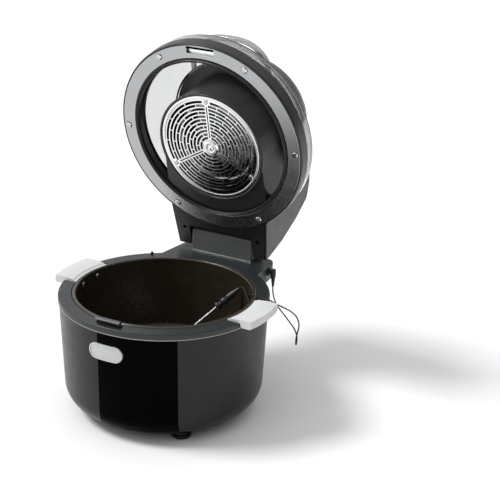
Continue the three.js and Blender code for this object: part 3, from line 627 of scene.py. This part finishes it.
def add_plug():
    boot = spindle((PLUG_X, SOCKET_Y, SOCKET_Z + 4.6), (PLUG_X, SOCKET_Y, 150.8), [
        (0, 0), (4.3, 0, 1.6), (4.4, 8, 1), (4.1, 14, 0.6), (3.2, 14.6, 0.3), (3.4, 16.4, 0.3),
        (3.0, 16.9, 0.2), (3.2, 18.6, 0.3), (2.8, 19.1, 0.2), (3.0, 20.8, 0.3), (2.5, 21.3, 0.2),
        (2.7, 23, 0.3), (2.2, 23.4, 0.2), (2.2, 28.8, 0.5), (0, 28.8)], 40)
    barrel = spindle((86.3, SOCKET_Y, SOCKET_Z), (PLUG_X, SOCKET_Y, SOCKET_Z),
                     [(0, 0), (4.5, 0, 0.8), (4.5, 5.2), (0, 5.2)], 40)
    jack = spindle((67, SOCKET_Y, SOCKET_Z), (87, SOCKET_Y, SOCKET_Z),
                   [(0, 0), (1.2, 0.2, 0.3), (1.7, 2, 0.4), (1.2, 3.4, 0.3), (1.7, 4.2, 0.2),
                    (1.7, 20), (0, 20)], 24)
    place(unite(boot, barrel), "plug_boot", "plug", "inner", "inner_black", "probe_plug")
    place(jack, "plug_jack", "plug", "steel", "steel")


add_floor_and_light()
add_probe()
add_plug()
add_cable("probe_skin_outer", CABLE_TO_PLUG, ("base", "plug"), reverse=True, far_end="object",
          with_pieces=["plug_boot", "plug_jack"])
add_cable("probe_skin_middle", CABLE_OVER_DECK, ("pot", "base"), far_end="object")
add_cable("probe_skin_inner", CABLE_IN_POT, ("probe", "pot"), far_end="object")

# ------------------------------------------------------------------ base
WALL_SLOPE = (WALL_R_HIGH - WALL_R_LOW) / (DRUM_TOP - CURVE_Z)


def wall_radius(z):
    return WALL_R_LOW + WALL_SLOPE * (z - CURVE_Z)


def drum_profile(inset, top=DRUM_TOP, steps=12):
    """The drum's surface from its top to the opening underneath, drawn in by inset."""
    made = [(wall_radius(top) - inset, top)]
    for i in range(steps + 1):
        a = math.pi / 2 * i / steps
        made.append((WALL_R_LOW - CURVE_R + (CURVE_R - inset) * math.cos(a),
                     CURVE_Z - (CURVE_Z - DRUM_BOTTOM - inset) * math.sin(a)))
    return [*made, (DRUM_OPEN_R, DRUM_BOTTOM + inset)]


def drum_layer(out, into, top=DRUM_TOP):
    return lathe([*drum_profile(-out, top), *reversed(drum_profile(into, top))], 288)


def oval(margin, y0, y1):
    """The button's outline as a bar of space along Y."""
    half, height = BUTTON_HALF_W + margin, BUTTON_HALF_H + margin
    obj = prism(round_rect(-half, half, -height, height, height * 0.999, 16), -y1, -y0)
    obj.data.transform(Matrix.Translation((0, 0, BUTTON_Z)) @ STAND_UP)
    return obj


def panel_window(margin):
    """The panel's outline, seen along its middle direction, as a block of space past its top."""
    half = WALL_R_HIGH * math.sin(math.radians(PANEL_HALF)) + margin
    obj = prism(round_rect(-half, half, PANEL_BOTTOM - margin, DRUM_TOP + 40, 8 + margin),
                90, 200)
    obj.data.transform(Matrix.Rotation(math.radians(PANEL_MID), 4, "Z") @ STAND_UP)
    return obj


def add_drum():
    drum = drum_layer(0, WALL_THICK)
    recess = keep(drum_layer(3, 1.9, DRUM_TOP + 2), panel_window(0.3))
    inlet = box(-14.3, 14.3, 135, 175, INLET_Z - 11.3, INLET_Z + 11.3)
    first, pitch, half, low, high = 34, 9, 1.6, 64, 96
    vents = []
    for side in (-1, 1):
        for i in range(4):
            x = side * (first + i * pitch)
            slot = prism(round_rect(x - half, x + half, low, high, 1.55, 4), -170, -110)
            slot.data.transform(STAND_UP)
            vents.append(slot)
    cut(drum, recess, oval(BUTTON_GAP, -170, -130), inlet, *vents)
    place(drum, "drum_wall", "base", "wall", "satin_black", "base_shell")

    panel = keep(drum_layer(0.3, 1.6, DRUM_TOP - 0.3), panel_window(0))
    cut(panel, oval(BUTTON_GAP, -170, -130))
    place(panel, "panel_glass", "base", "panel", "gloss_black", "control_panel")

    trim = lathe([(156, DRUM_TOP + 0.3), (158.9, DRUM_TOP + 0.3, 0.5), (159.3, 174.8, 0.4),
                  (159.3, 175.4, 0.4), (158.9, 176.1, 0.4), (156, 176.1)], 256)
    place(trim, "trim_band", "base", "trim", "chrome", "trim_ring")


def add_button():
    face = lathe([(149, 120), (159.7, 120), (159.7, 170), (149, 170)], 384)
    button = keep(face, oval(0, -170, -140))
    dish = lathe([(158.9, 120), (162, 120), (162, 170), (158.9, 170)], 384)
    cut(button, keep(dish, oval(-2.4, -170, -140)))
    soften(button, 0.7, 50, 3)
    place(button, "button_cap", "button", "silver", "silver_plastic", "release_button")


def shelf_outline(inset):
    half, back, r = 82 - inset, SHELF_BACK - inset, 8
    corner = [(half - r + r * math.cos(a), back - r + r * math.sin(a))
              for a in (math.pi / 2 * i / 8 for i in range(9))]
    right = [(88 - inset, 110), (88 - inset, 133), *corner]
    return [*right, *[(-x, y) for x, y in reversed(right)]]


def add_deck():
    bottom = 176.4
    ring = lathe([(BORE_R, DECK_Z, 1.2), (DECK_R, DECK_Z, 2.4), (DECK_R, bottom, 0.6),
                  (157, bottom), (157, DECK_UNDERSIDE), (142.9, DECK_UNDERSIDE), (142.9, 174.8),
                  (136.6, 174.8), (136.6, 177.7, 0.3), (BORE_R, 177.7)], 288)
    shelf = cut(prism(shelf_outline(0), SHELF_BOTTOM, DECK_Z, 1.4, 3),
                column(DECK_R - 0.5, 100, bottom), column(150, 100, 200))
    hollow = cut(prism(shelf_outline(3), SHELF_BOTTOM - 5, DECK_UNDERSIDE),
                 column(DECK_R, 100, 200))
    unite(ring, shelf)
    tools = [hollow]
    for s in (-1, 1):
        for x0, z0, z1 in ((130, 182.6, 190), (158, 170, 182.7)):
            x0, x1 = sorted((s * x0, s * 170))
            tools.append(box(x0, x1, -44.5, 44.5, z0, z1))
        tools.append(rod((s * 40, 192, 176), (s * 40, 192, 190), 2.2))
    tools += [box(-22, 22, -150, -142, 170, 190),
              rod((SWITCH_X, SWITCH_Y, 170), (SWITCH_X, SWITCH_Y, 190), 2.6),
              rod((70, SOCKET_Y, SOCKET_Z), (95, SOCKET_Y, SOCKET_Z), 4.9),
              box(-70.4, -69.4, 152, 187, DECK_Z - 0.8, DECK_Z + 2)]
    cut(ring, *tools)
    place(ring, "deck_top", "base", "deck", "deck_slate", "deck")
    plate = cut(prism(shelf_outline(3.3), SHELF_BOTTOM, SHELF_BOTTOM + 2.5, 0.5),
                column(DECK_R + 0.4, 100, 200))
    place(plate, "shelf_plate", "base", "wall", "satin_black", "shelf_cover")


def add_underside():
    plate = lathe([(0, DRUM_BOTTOM + 0.3), (DRUM_OPEN_R - 0.4, DRUM_BOTTOM + 0.3, 0.6),
                   (DRUM_OPEN_R - 0.4, 12), (8, 12), (8, 33), (0, 33)], 128)
    slots = [prism(round_rect(x - 2, x + 2, -76, -40, 1.95, 4), 0, 20)
             for x in range(-40, 41, 16)]
    wells = [rod((*around(86, 0, a)[:2], 5), (*around(86, 0, a)[:2], DRUM_BOTTOM + 1.6), 4)
             for a in (-60, 60, 180)]
    cut(plate, *slots, *wells)
    place(plate, "underside_plate", "base", "inner", "inner_black", "bottom_cover")
    for side, degrees in (("front_left", -45), ("front_right", 45), ("rear_left", -135),
                          ("rear_right", 135)):
        x, y, _ = around(FOOT_CIRCLE_R, 0, degrees)
        pad = lathe([(0, 0.8), (8.4, 0.8, 0.3), (9, 0, 0.3), (13.8, 0, 1), (15, 1.4, 0.8),
                     (15, 3.8, 1), (13.2, 5.2, 0.8), (10.4, 5.8, 0.8), (10, 8.7), (0, 8.7)], 64)
        pad.data.transform(Matrix.Translation((x, y, 0)))
        place(pad, f"pad_{side}", "base", "rubber", "rubber", f"foot_{side}")


def add_socket():
    sleeve = spindle((62, SOCKET_Y, SOCKET_Z), (86, SOCKET_Y, SOCKET_Z),
                     [(2.1, 0), (4.5, 0), (4.5, 22.6), (7.6, 22.6, 0.4), (7.6, 23.8, 0.4),
                      (3, 23.8, 0.4), (2.1, 23)], 48)
    place(sleeve, "socket_sleeve", "base", "inner", "inner_black", "probe_socket")


def add_inlet():
    """Mains inlet: a rounded flange, a six-sided mouth and three flat pins."""

    def facing_back(outline, y0, y1, edge=0):
        obj = prism(outline, -y1, -y0, edge)
        obj.data.transform(Matrix.Translation((0, 0, INLET_Z)) @ STAND_UP)
        return obj

    flange = facing_back(round_rect(-17.4, 17.4, -13.9, 13.9, 3, 6), 154.1, 159.3, 0.9)
    body = facing_back(round_rect(-13.8, 13.8, -10.8, 10.8, 2, 4), 139.6, 154.6)
    mouth = facing_back([(-11, -7), (11, -7), (11, 3), (7, 7), (-7, 7), (-11, 3)], 142.5, 161)
    pins = [facing_back(round_rect(x - 1, x + 1, -2.5, 2.5, 0.6, 3), 141, 153.6, 0.4)
            for x in (-6, 0, 6)]
    place(cut(unite(flange, body), mouth), "inlet_socket", "base", "inner", "inner_black",
          "power_inlet")
    place(unite(*pins), "inlet_pins", "base", "steel", "steel")


def add_hot_parts():
    liner = lathe([(136.2, 174.4), (137.2, 174.4), (137.2, 40, 5), (131, 34, 3), (104.6, 34),
                   (104.6, 35), (130.6, 35, 3), (136.2, 40.4, 5)], 160)
    place(liner, "liner_wall", "base", "aluminium", "aluminium", "inner_liner")
    top = []
    for i in range(5):
        r = 28 + i * 15
        top += [(r, 53.6, 0.5), (r, 52.6, 0.3), (r + 3, 52.6, 0.3), (r + 3, 53.6, 0.5)]
    plate = lathe([(15, 44, 1), (15, 53.6, 1), *top, (98, 53.6, 2), (103.5, 50, 2),
                   (103.5, 46, 2), (98, 44, 1)], 160)
    place(plate, "cast_plate", "base", "aluminium", "aluminium", "heating_plate")
    puck = lathe([(0, 47), (14, 47, 0.3), (14, 49, 0.4), (12.6, 49, 0.2), (12.6, 53.7, 1),
                  (0, 53.7)], 64)
    place(puck, "sensor_cap", "sensor", "aluminium", "aluminium", "sensor_puck")


def add_hinge_cover():
    reach, top, corner, skin = 19.9, HINGE_Z + 12.5, 5, 1.4

    def side(inset, bottom):
        half, r = reach - inset, corner - inset
        return rounded([(HINGE_Y - half, bottom), (HINGE_Y + half, bottom),
                        (HINGE_Y + half, top - inset, r), (HINGE_Y - half, top - inset, r)], 8)

    shell = across(side(0, DECK_Z + 0.3), -54.5, 54.5, 1.2)
    groove = cut(across(side(-1, DECK_Z - 1), -50.2, -49.4),
                 across(side(0.5, DECK_Z - 2), -51, -49))
    cut(shell, across(side(skin, DECK_Z - 3), -52.5, 52.5), groove,
        rod((-60, HINGE_Y, HINGE_Z), (60, HINGE_Y, HINGE_Z), 4.6))
    place(shell, "hinge_shroud", "base", "hinge", "grey_plate", "hinge_cover")
    front = HINGE_Y - reach
    lip = box(-54.3, 54.3, front - 1.4, front - 0.15, DECK_Z + 0.05, DECK_Z + 1.7, 0.4)
    place(lip, "hinge_lip", "base", "grille", "chrome")


def add_latch():
    neck = box(-20.5, 20.5, -148, -145.4, 168, 193.6)
    stem = box(-12, -2, -146.6, -145.4, 138, 170)
    lip = across(rounded([(-154.4, 191.9, 0.5), (-147, 191.9), (-147, 194.6, 0.4),
                          (-150, 194.6, 0.8)], 3), -20.5, 20.5, 0.4)
    hook = unite(neck, stem, lip)
    place(hook, "latch_tongue", "latch", "inner", "inner_black", "latch_hook")
    strip = box(-18.5, 18.5, -145.35, -145.0, 186.4, 191.4, 0.12)
    place(strip, "latch_strip", "latch", "chrome", "chrome")
    pin = lathe([(0, 177), (2.2, 177), (2.2, 189, 0.6), (1.2, 190, 0.4), (0, 190)], 32)
    pin.data.transform(Matrix.Translation((SWITCH_X, SWITCH_Y, 0)))
    place(pin, "switch_pin", "lid_switch", "inner", "inner_black", "lid_switch_pin")


# ------------------------------------------------------------------ pot
def add_pot():
    rings = []
    for r in (96, 76, 56, 36):
        rings += [(r + 1.5, 56, 0.6), (r, 56.5, 0.6), (r - 1.5, 56, 0.6)]
    body = lathe([(0, 54), (106, 54, 8), (122, 59, 8), (130.6, 74, 10), (POT_R, 172),
                  (POT_R, 178.1, 0.5), (RIM_R, 178.1, 0.8), (RIM_R, 185, 1.6),
                  (137.6, POT_TOP, 1.2), (134.4, POT_TOP, 1.2), (133, 184.6, 1), (133, 172),
                  (129, 75, 10), (121, 61, 8), (105, 56, 8), *rings, (0, 56)], 288)
    place(body, "pot_body", "pot", "pot", "non_stick", "pot")
    heads = []
    for side in (-1, 1):
        for y in (-27, 14):
            a = math.degrees(math.atan2(side * 133, -y))
            head = spindle(around(133.6, 176, a), around(130.8, 176, a),
                           [(0, 0), (4.4, 0), (4.4, 1.2, 0.8), (2.4, 2.6, 0.8), (0, 2.8)], 32)
            heads.append(head)
    rivets = unite(*heads)
    place(rivets, "pot_rivets", "pot", "steel", "steel")


def add_handle(side, name):
    inner = RIM_R + 0.3
    strip = lathe([(inner, 183), (160.6, 183, 0.8), (160.6, 178.6, 1), (163, 176.6, 1),
                   (GRIP_REACH - 0.4, 176.6, 2.2), (GRIP_REACH - 0.4, 188.8, 2.4), (161, 188.8, 2),
                   (146, 187.4, 1.4), (142.4, 185.4, 1), (inner, 185.4, 0.5)], 288)
    plan = prism(round_rect(100, GRIP_REACH + 8, -41, 41, 9, 10), 170, 195)
    grip = keep(strip, plan)
    soften(grip, 0.9, 40, 3)
    if side < 0:
        grip.data.transform(Matrix.Scale(-1, 4, (1, 0, 0)))
        grip.data.flip_normals()
    place(grip, f"grip_{name}", "pot", "grip", "grey_grip", f"pot_handle_{name}")


# ------------------------------------------------------------------ lid, drawn shut
def above_ring(outline):
    return [(p[0], p[1] + LID_Z, *p[2:]) for p in outline]


def lid_box(x0, x1, y0, y1, z0, z1):
    return box(x0, x1, y0, y1, LID_Z + z0, LID_Z + z1)


def lid_hole(point, r, z0, z1, sides=24):
    return rod((point[0], point[1], LID_Z + z0), (point[0], point[1], LID_Z + z1), r, sides=sides)


LID_SCREW_ANGLES = (-150, -90, -30, 30, 90, 150)
GRILLE_SCREW_ANGLES = (0, 120, 240)


def lid_screw_point(degrees):
    return around(SCREW_R, 0, degrees)


def grille_screw_point(degrees):
    return around(GRILLE_SCREW_R, 0, degrees, FAN_Y)


def cross_screw(point, head_r, head_z, length, name, turn):
    """A countersunk screw with a cross recess, its head facing down."""
    z = LID_Z + head_z
    body = lathe([(0, z), (head_r * 0.72, z, 0.3), (head_r, z + 0.9, 0.3), (head_r, z + 1.4),
                  (head_r * 0.42, z + 1.4), (head_r * 0.42, z + length), (0, z + length)], 40)
    arms = []
    for k in (0, 1):
        arm = box(-head_r * 0.55, head_r * 0.55, -head_r * 0.13, head_r * 0.13, z - 1, z + 0.9)
        arm.data.transform(Matrix.Rotation(math.radians(90 * k + turn), 4, "Z"))
        arms.append(arm)
    cut(body, *arms)
    body.data.transform(Matrix.Translation((point[0], point[1], 0)))
    place(body, f"{name}_body", "lid", "chrome", "chrome", name, at=LID)


def add_lid_ring():
    ring = lathe(above_ring([(RING_IN, 0.5, 0.3), (RING_IN + 0.8, 0, 0.5), (155.4, 0, 0.8),
                             (RING_OUT, 1.2), (RING_IN, 1.2)]), 320)
    holes = [lid_hole(lid_screw_point(a), 5.5, -2, 3, sides=40) for a in LID_SCREW_ANGLES]
    slot = prism(round_rect(-24, 24, -153, -142, 1.6, 4), LID_Z - 2, LID_Z + 5)
    cut(ring, slot, *holes)
    place(ring, "ring_plate", "lid", "ring", "steel", "lid_ring", at=LID)
    for i, degrees in enumerate(LID_SCREW_ANGLES):
        cross_screw(lid_screw_point(degrees), 4.8, -1.7, 10, f"lid_screw_{i + 1}", i * 37)
    strike = across(above_ring([(-141.6, -0.4), (-141.9, -0.4), (-142.5, 4.9), (-146.6, 5.4),
                                (-146.6, 6.6), (-141.6, 6.6)]), -23.2, 23.2, 0.12)
    place(strike, "strike_plate", "lid", "grille", "chrome", at=LID)


def arm_plan(inset, front):
    right = [(CASE_R - inset, front), (CASE_R - inset, 125), (80 - inset, 210)]
    return [*right, *[(-x, y) for x, y in reversed(right)]]


def add_lid_frame():
    rim = lathe(above_ring([(135, 1.5), (156.5, 1.5), (156.5, 0), (157.6, 0, 0.6),
                            (158.8, 3, 1.5), (LID_R, 19.7, 0.4), (128, 19.7), (128, 14, 1),
                            (134.6, 6)]), 320)
    inside = [column(r, LID_Z - 5, LID_Z + z, 320) for r, z in ((150, 18), (156.5, 1.5))]
    tongue = cut(prism(arm_plan(3.6, 118), LID_Z, LID_Z + 3), *inside)
    keep(tongue, box(-100, 100, 100, 199.8, LID_Z - 1, LID_Z + 5))
    parts = [tongue]
    for s in (-1, 1):
        x0, x1 = sorted((s * KNUCKLE_IN, s * 76))
        parts += [rod((x0, HINGE_Y, HINGE_Z), (x1, HINGE_Y, HINGE_Z), 7, sides=48),
                  box(x0, x1, HINGE_Y - 7, HINGE_Y + 7, LID_Z + 0.5, HINGE_Z)]
    unite(rim, *parts)
    holes = [lid_hole(lid_screw_point(a), 2.2, -2, 12) for a in LID_SCREW_ANGLES]
    wells = [lid_hole((s * 67, 172), 3.1, -2, 6) for s in (-1, 1)]
    cut(rim, box(-57.3, 57.3, 168, 230, LID_Z - 5, LID_Z + 40),
        rod((-90, HINGE_Y, HINGE_Z), (90, HINGE_Y, HINGE_Z), 4.35),
        lid_box(-24, 24, -154.9, -141.5, -2, 14), *holes, *wells)
    place(rim, "frame_rim", "lid", "frame", "satin_black", "lid_frame", at=LID)


def add_gasket():
    seal = lathe(above_ring([(128.6, -1.2, 0.8), (129.8, -2.6, 0.6), (131, -1.4, 0.4),
                             (131.8, -3.2, 0.5), (132.8, -1.4, 0.4), (134, -2, 0.4), (134.2, 4),
                             (128.6, 4)]), 256)
    a0, a1 = math.radians(111.4), math.radians(114.9)
    notch = prism([(0, 0), *[(400 * math.sin(a), -400 * math.cos(a)) for a in (a0, a1)]],
                  LID_Z - 6, LID_Z - 0.2)
    cut(seal, notch)
    place(seal, "gasket_ring", "lid", "gasket", "rubber", "lid_gasket", at=LID)


def add_glass():
    bowl = lathe(above_ring([(150, 20), (158, 20, 0.4), (157.2, 39, 6), (150, 48, 4),
                             (122, 77.6, 5), (116, GLASS_TOP, 3), (90, GLASS_TOP), (90, 76),
                             (115, 76, 3), (119.4, 74.4, 4), (147.4, 44.6, 4), (153.2, 38, 5),
                             (153.8, 24), (150, 24)]), 288, steps=6)
    cut(bowl, disc(107, 60, 100, FAN_Y), lid_box(-88.6, 88.6, 0, 200, 0, 100))
    place(bowl, "glass_bowl", "lid", "glass", "smoked_glass", "lid_glass", at=LID)


def arm_side(inset):
    under = 0.3 - inset * 9
    return [(40, under), (203.6 - inset, under), (203 - inset, 14, 8), (197 - inset, 56, 20),
            (183 - inset, 103 - inset * 0.3, 25), (164 - inset, 141 - inset, 12),
            (138 - inset, 149.4 - inset, 10), (40, 149.4 - inset)]


def arm_block(inset, front):
    block = prism(arm_plan(inset, front), LID_Z - 40, LID_Z + 200)
    side = rounded(above_ring([(y, z, *r) for y, z, *r in arm_side(inset)]), 5)
    return keep(block, across(side, -100, 100))


def dome(margin, bottom):
    return lathe(above_ring([(0, bottom), (DOME_R + margin, bottom),
                             (DOME_R - 2 + margin, 92, 4), (99 + margin, 132, 12),
                             (93 + margin, 145 + margin, 6), (84 + margin, DOME_TOP + margin, 6),
                             (0, DOME_TOP + margin)]), 192, y=FAN_Y, steps=5)


def disc(r, z0, z1, y=0):
    return column(r, LID_Z + z0, LID_Z + z1, 192, y)


def add_housing():
    arm = soften(cut(arm_block(0, 40), disc(130, -50, 80.3)), 1.5, 50, 3)
    shell = unite(arm, dome(0, 80.3))
    hollow = unite(cut(arm_block(WALL_THICK, 60), disc(130, -50, 83)), dome(-WALL_THICK, 83.2),
                   disc(86, 78, 84, FAN_Y))
    louvres = []
    for i in range(5):
        slot = prism(round_rect(-42, 42, LID_Z + 64.3 + i * 9, LID_Z + 67.7 + i * 9, 1.65, 4),
                     -215, -150)
        slot.data.transform(STAND_UP)
        louvres.append(slot)
    cut(shell, hollow, disc(LID_R + 0.5, -50, 20.1),
        rod((-57.5, HINGE_Y, HINGE_Z), (57.5, HINGE_Y, HINGE_Z), 33, sides=96), *louvres)
    place(shell, "housing_shell", "lid", "housing", "satin_black", "top_housing", at=LID)


def add_lid_handle():
    """The arched handle in front of the dome. Its plan is a squared ellipse."""
    middle_y, half_x, half_y, fullness, width = -60, 72, 75, 2.6, 5.2

    def soft(value):
        return math.copysign(abs(value) ** (2 / fullness), value)

    def arch(inset):
        return [((half_x - inset) * soft(math.cos(a)),
                 middle_y + (half_y - inset) * soft(math.sin(a)))
                for a in (2 * math.pi * i / 160 for i in range(160))]

    strap = cut(prism(arch(0), LID_Z + 81.6, LID_Z + 90),
                prism(arch(width), LID_Z + 70, LID_Z + 100))
    cut(strap, dome(0.3, 80), lid_box(-80, 80, middle_y, 40, 70, 100))
    soften(strap, 1.2, 40, 4)
    place(strap, "handle_strap", "lid", "strap", "silver_plastic", "lid_handle", at=LID)


def case_space(inset, z0, z1):
    r = CASE_R - inset
    return keep(unite(disc(r, z0, z1, FAN_Y), lid_box(-r, r, FAN_Y, 140, z0, z1)),
                disc(127.2 - inset, z0, z1))


def add_fan_case():
    shell = case_space(0, 2.5, 79.9)
    bezel = lathe(above_ring([(85.6, 2.6), (87.5, 2.6), (87.5, -1.4, 1.2), (91.4, -1.4, 2.4),
                              (91.4, 5, 1.4), (85.6, 5)]), 192, y=FAN_Y)
    unite(shell, bezel)
    cut(shell, disc(84, -5, 58, FAN_Y), case_space(3, 61, 90),
        cut(case_space(3, 5.5, 70), disc(87, 0, 61, FAN_Y)))
    unite(shell, *[lid_hole(grille_screw_point(a), 6.5, 2.5, 16) for a in GRILLE_SCREW_ANGLES])
    cut(shell, lid_hole((0, FAN_Y), 6, 50, 70),
        *[lid_hole(grille_screw_point(a), 2, -5, 13) for a in GRILLE_SCREW_ANGLES])
    place(shell, "fan_case", "lid", "inner", "inner_black", "fan_housing", at=LID)


def spoke_space(half, r0, r1, degrees):
    spoke = box(-half, half, -r1, -r0, LID_Z - 3, LID_Z + 5)
    spoke.data.transform(Matrix.Translation((0, FAN_Y, 0))
                         @ Matrix.Rotation(math.radians(degrees), 4, "Z"))
    return spoke


def add_grille():
    """Slotted guard: narrow curved slots between rings, with ribs and three broad spokes."""
    plate = lathe(above_ring([(0, -2.8), (2.6, -2.8, 1), (4.2, 0.6, 0.4), (6.6, 0.6, 0.4),
                              (7.4, -1.2, 0.5), (11, -1.2, 0.9), (13.4, 0.5, 0.4),
                              (81.6, 0.5, 0.3), (82.4, -0.2, 0.3), (83.6, -0.2, 0.3),
                              (84.4, 0.5, 0.3), (87.2, 0.5, 0.3), (87.2, 2.1), (0, 2.1)]),
                  192, y=FAN_Y)
    pitch, slot, ring_count, first = 6.1, 4.2, 11, 14.5
    slots = []
    for i in range(ring_count):
        r = first + i * pitch
        ring = lathe(above_ring([(r, -2), (r + slot, -2), (r + slot, 4), (r, 4)]), 160, y=FAN_Y)
        bars = []
        ribs = 6 if i < 3 else 12
        for k in range(ribs):
            angle = (k + 0.5 * (i % 2)) * 360 / ribs
            rib = box(-0.7, 0.7, 0, 90, LID_Z - 3, LID_Z + 5)
            rib.data.transform(Matrix.Translation((0, FAN_Y, 0))
                               @ Matrix.Rotation(math.radians(angle), 4, "Z"))
            bars.append(rib)
        spoke = 7 if i == ring_count - 1 else 3
        bars += [spoke_space(spoke, 0, 90, a) for a in GRILLE_SCREW_ANGLES]
        slots.append(cut(ring, *bars))
    slots += [spoke_space(1, 17, 70, a) for a in GRILLE_SCREW_ANGLES]
    cut(plate, *slots, *[lid_hole(grille_screw_point(a), 1.9, -2, 5)
                         for a in GRILLE_SCREW_ANGLES])
    place(plate, "grille_guard", "lid", "grille", "chrome", "grille", at=LID)
    for i, degrees in enumerate(GRILLE_SCREW_ANGLES):
        cross_screw(grille_screw_point(degrees), 3.6, -1.2, 12, f"grille_screw_{i + 1}", i * 23)


def add_coil():
    ring = lathe(above_ring([(64 + a, 20 + b) for a, b in circle(3.2, 20)]), 160, y=FAN_Y)
    legs = [lid_hole((s * 12, FAN_Y + 62.8), 2, 20, 57) for s in (-1, 1)]
    place(unite(ring, *legs), "coil_tube", "lid", "steel", "steel", "heater_coil", at=LID)


def add_spring(name, node, body, axis, centre, coil_r, length, turns, wire_r):
    """A coil spring about Z or Y with flat ends."""
    points = []
    steps = turns * 24
    for i in range(steps + 1):
        t = i / steps
        rise = length * (min(max((t - 0.12) / 0.76, 0), 1) - 0.5)
        a = coil_r * math.cos(2 * math.pi * turns * t)
        b = coil_r * math.sin(2 * math.pi * turns * t)
        points.append(Vector(centre) + Vector((a, b, rise) if axis.z else (b, rise, a)))
    coil = place(tube(points, wire_r, 10, up=axis), name, body, "steel", "steel", node)
    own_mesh(coil)


def add_springs():
    add_spring("button_coil", "button_spring", "base", Vector((0, 1, 0)),
               centre=(12, -143.2, BUTTON_Z), coil_r=3.4, length=8.2, turns=4, wire_r=0.6)
    add_spring("sensor_coil", "sensor_spring", "base", Vector((0, 0, 1)),
               centre=(0, 0, 40), coil_r=6.4, length=11.6, turns=4, wire_r=0.8)


KEPT_NODES = {
    "control_board": "board", "power_board": "board", "hinge_bracket": "steel",
    "hinge_pin_left": "steel", "hinge_pin_right": "steel", "hinge_spring_left": "steel",
    "hinge_spring_right": "steel", "fan_motor": "steel", "motor_shaft": "steel",
    "impeller": "aluminium", "cooling_fan": "inner",
}


def finish_kept_nodes():
    for name, material in KEPT_NODES.items():
        mesh = nodes[name].data
        mesh.materials.clear()
        mesh.materials.append(MATERIALS[material])


add_drum()
add_button()
add_deck()
add_underside()
add_socket()
add_inlet()
add_hot_parts()
add_hinge_cover()
add_latch()
add_pot()
add_handle(-1, "left")
add_handle(1, "right")
add_lid_ring()
add_lid_frame()
add_gasket()
add_glass()
add_housing()
add_lid_handle()
add_fan_case()
add_grille()
add_coil()
add_springs()
finish_kept_nodes()
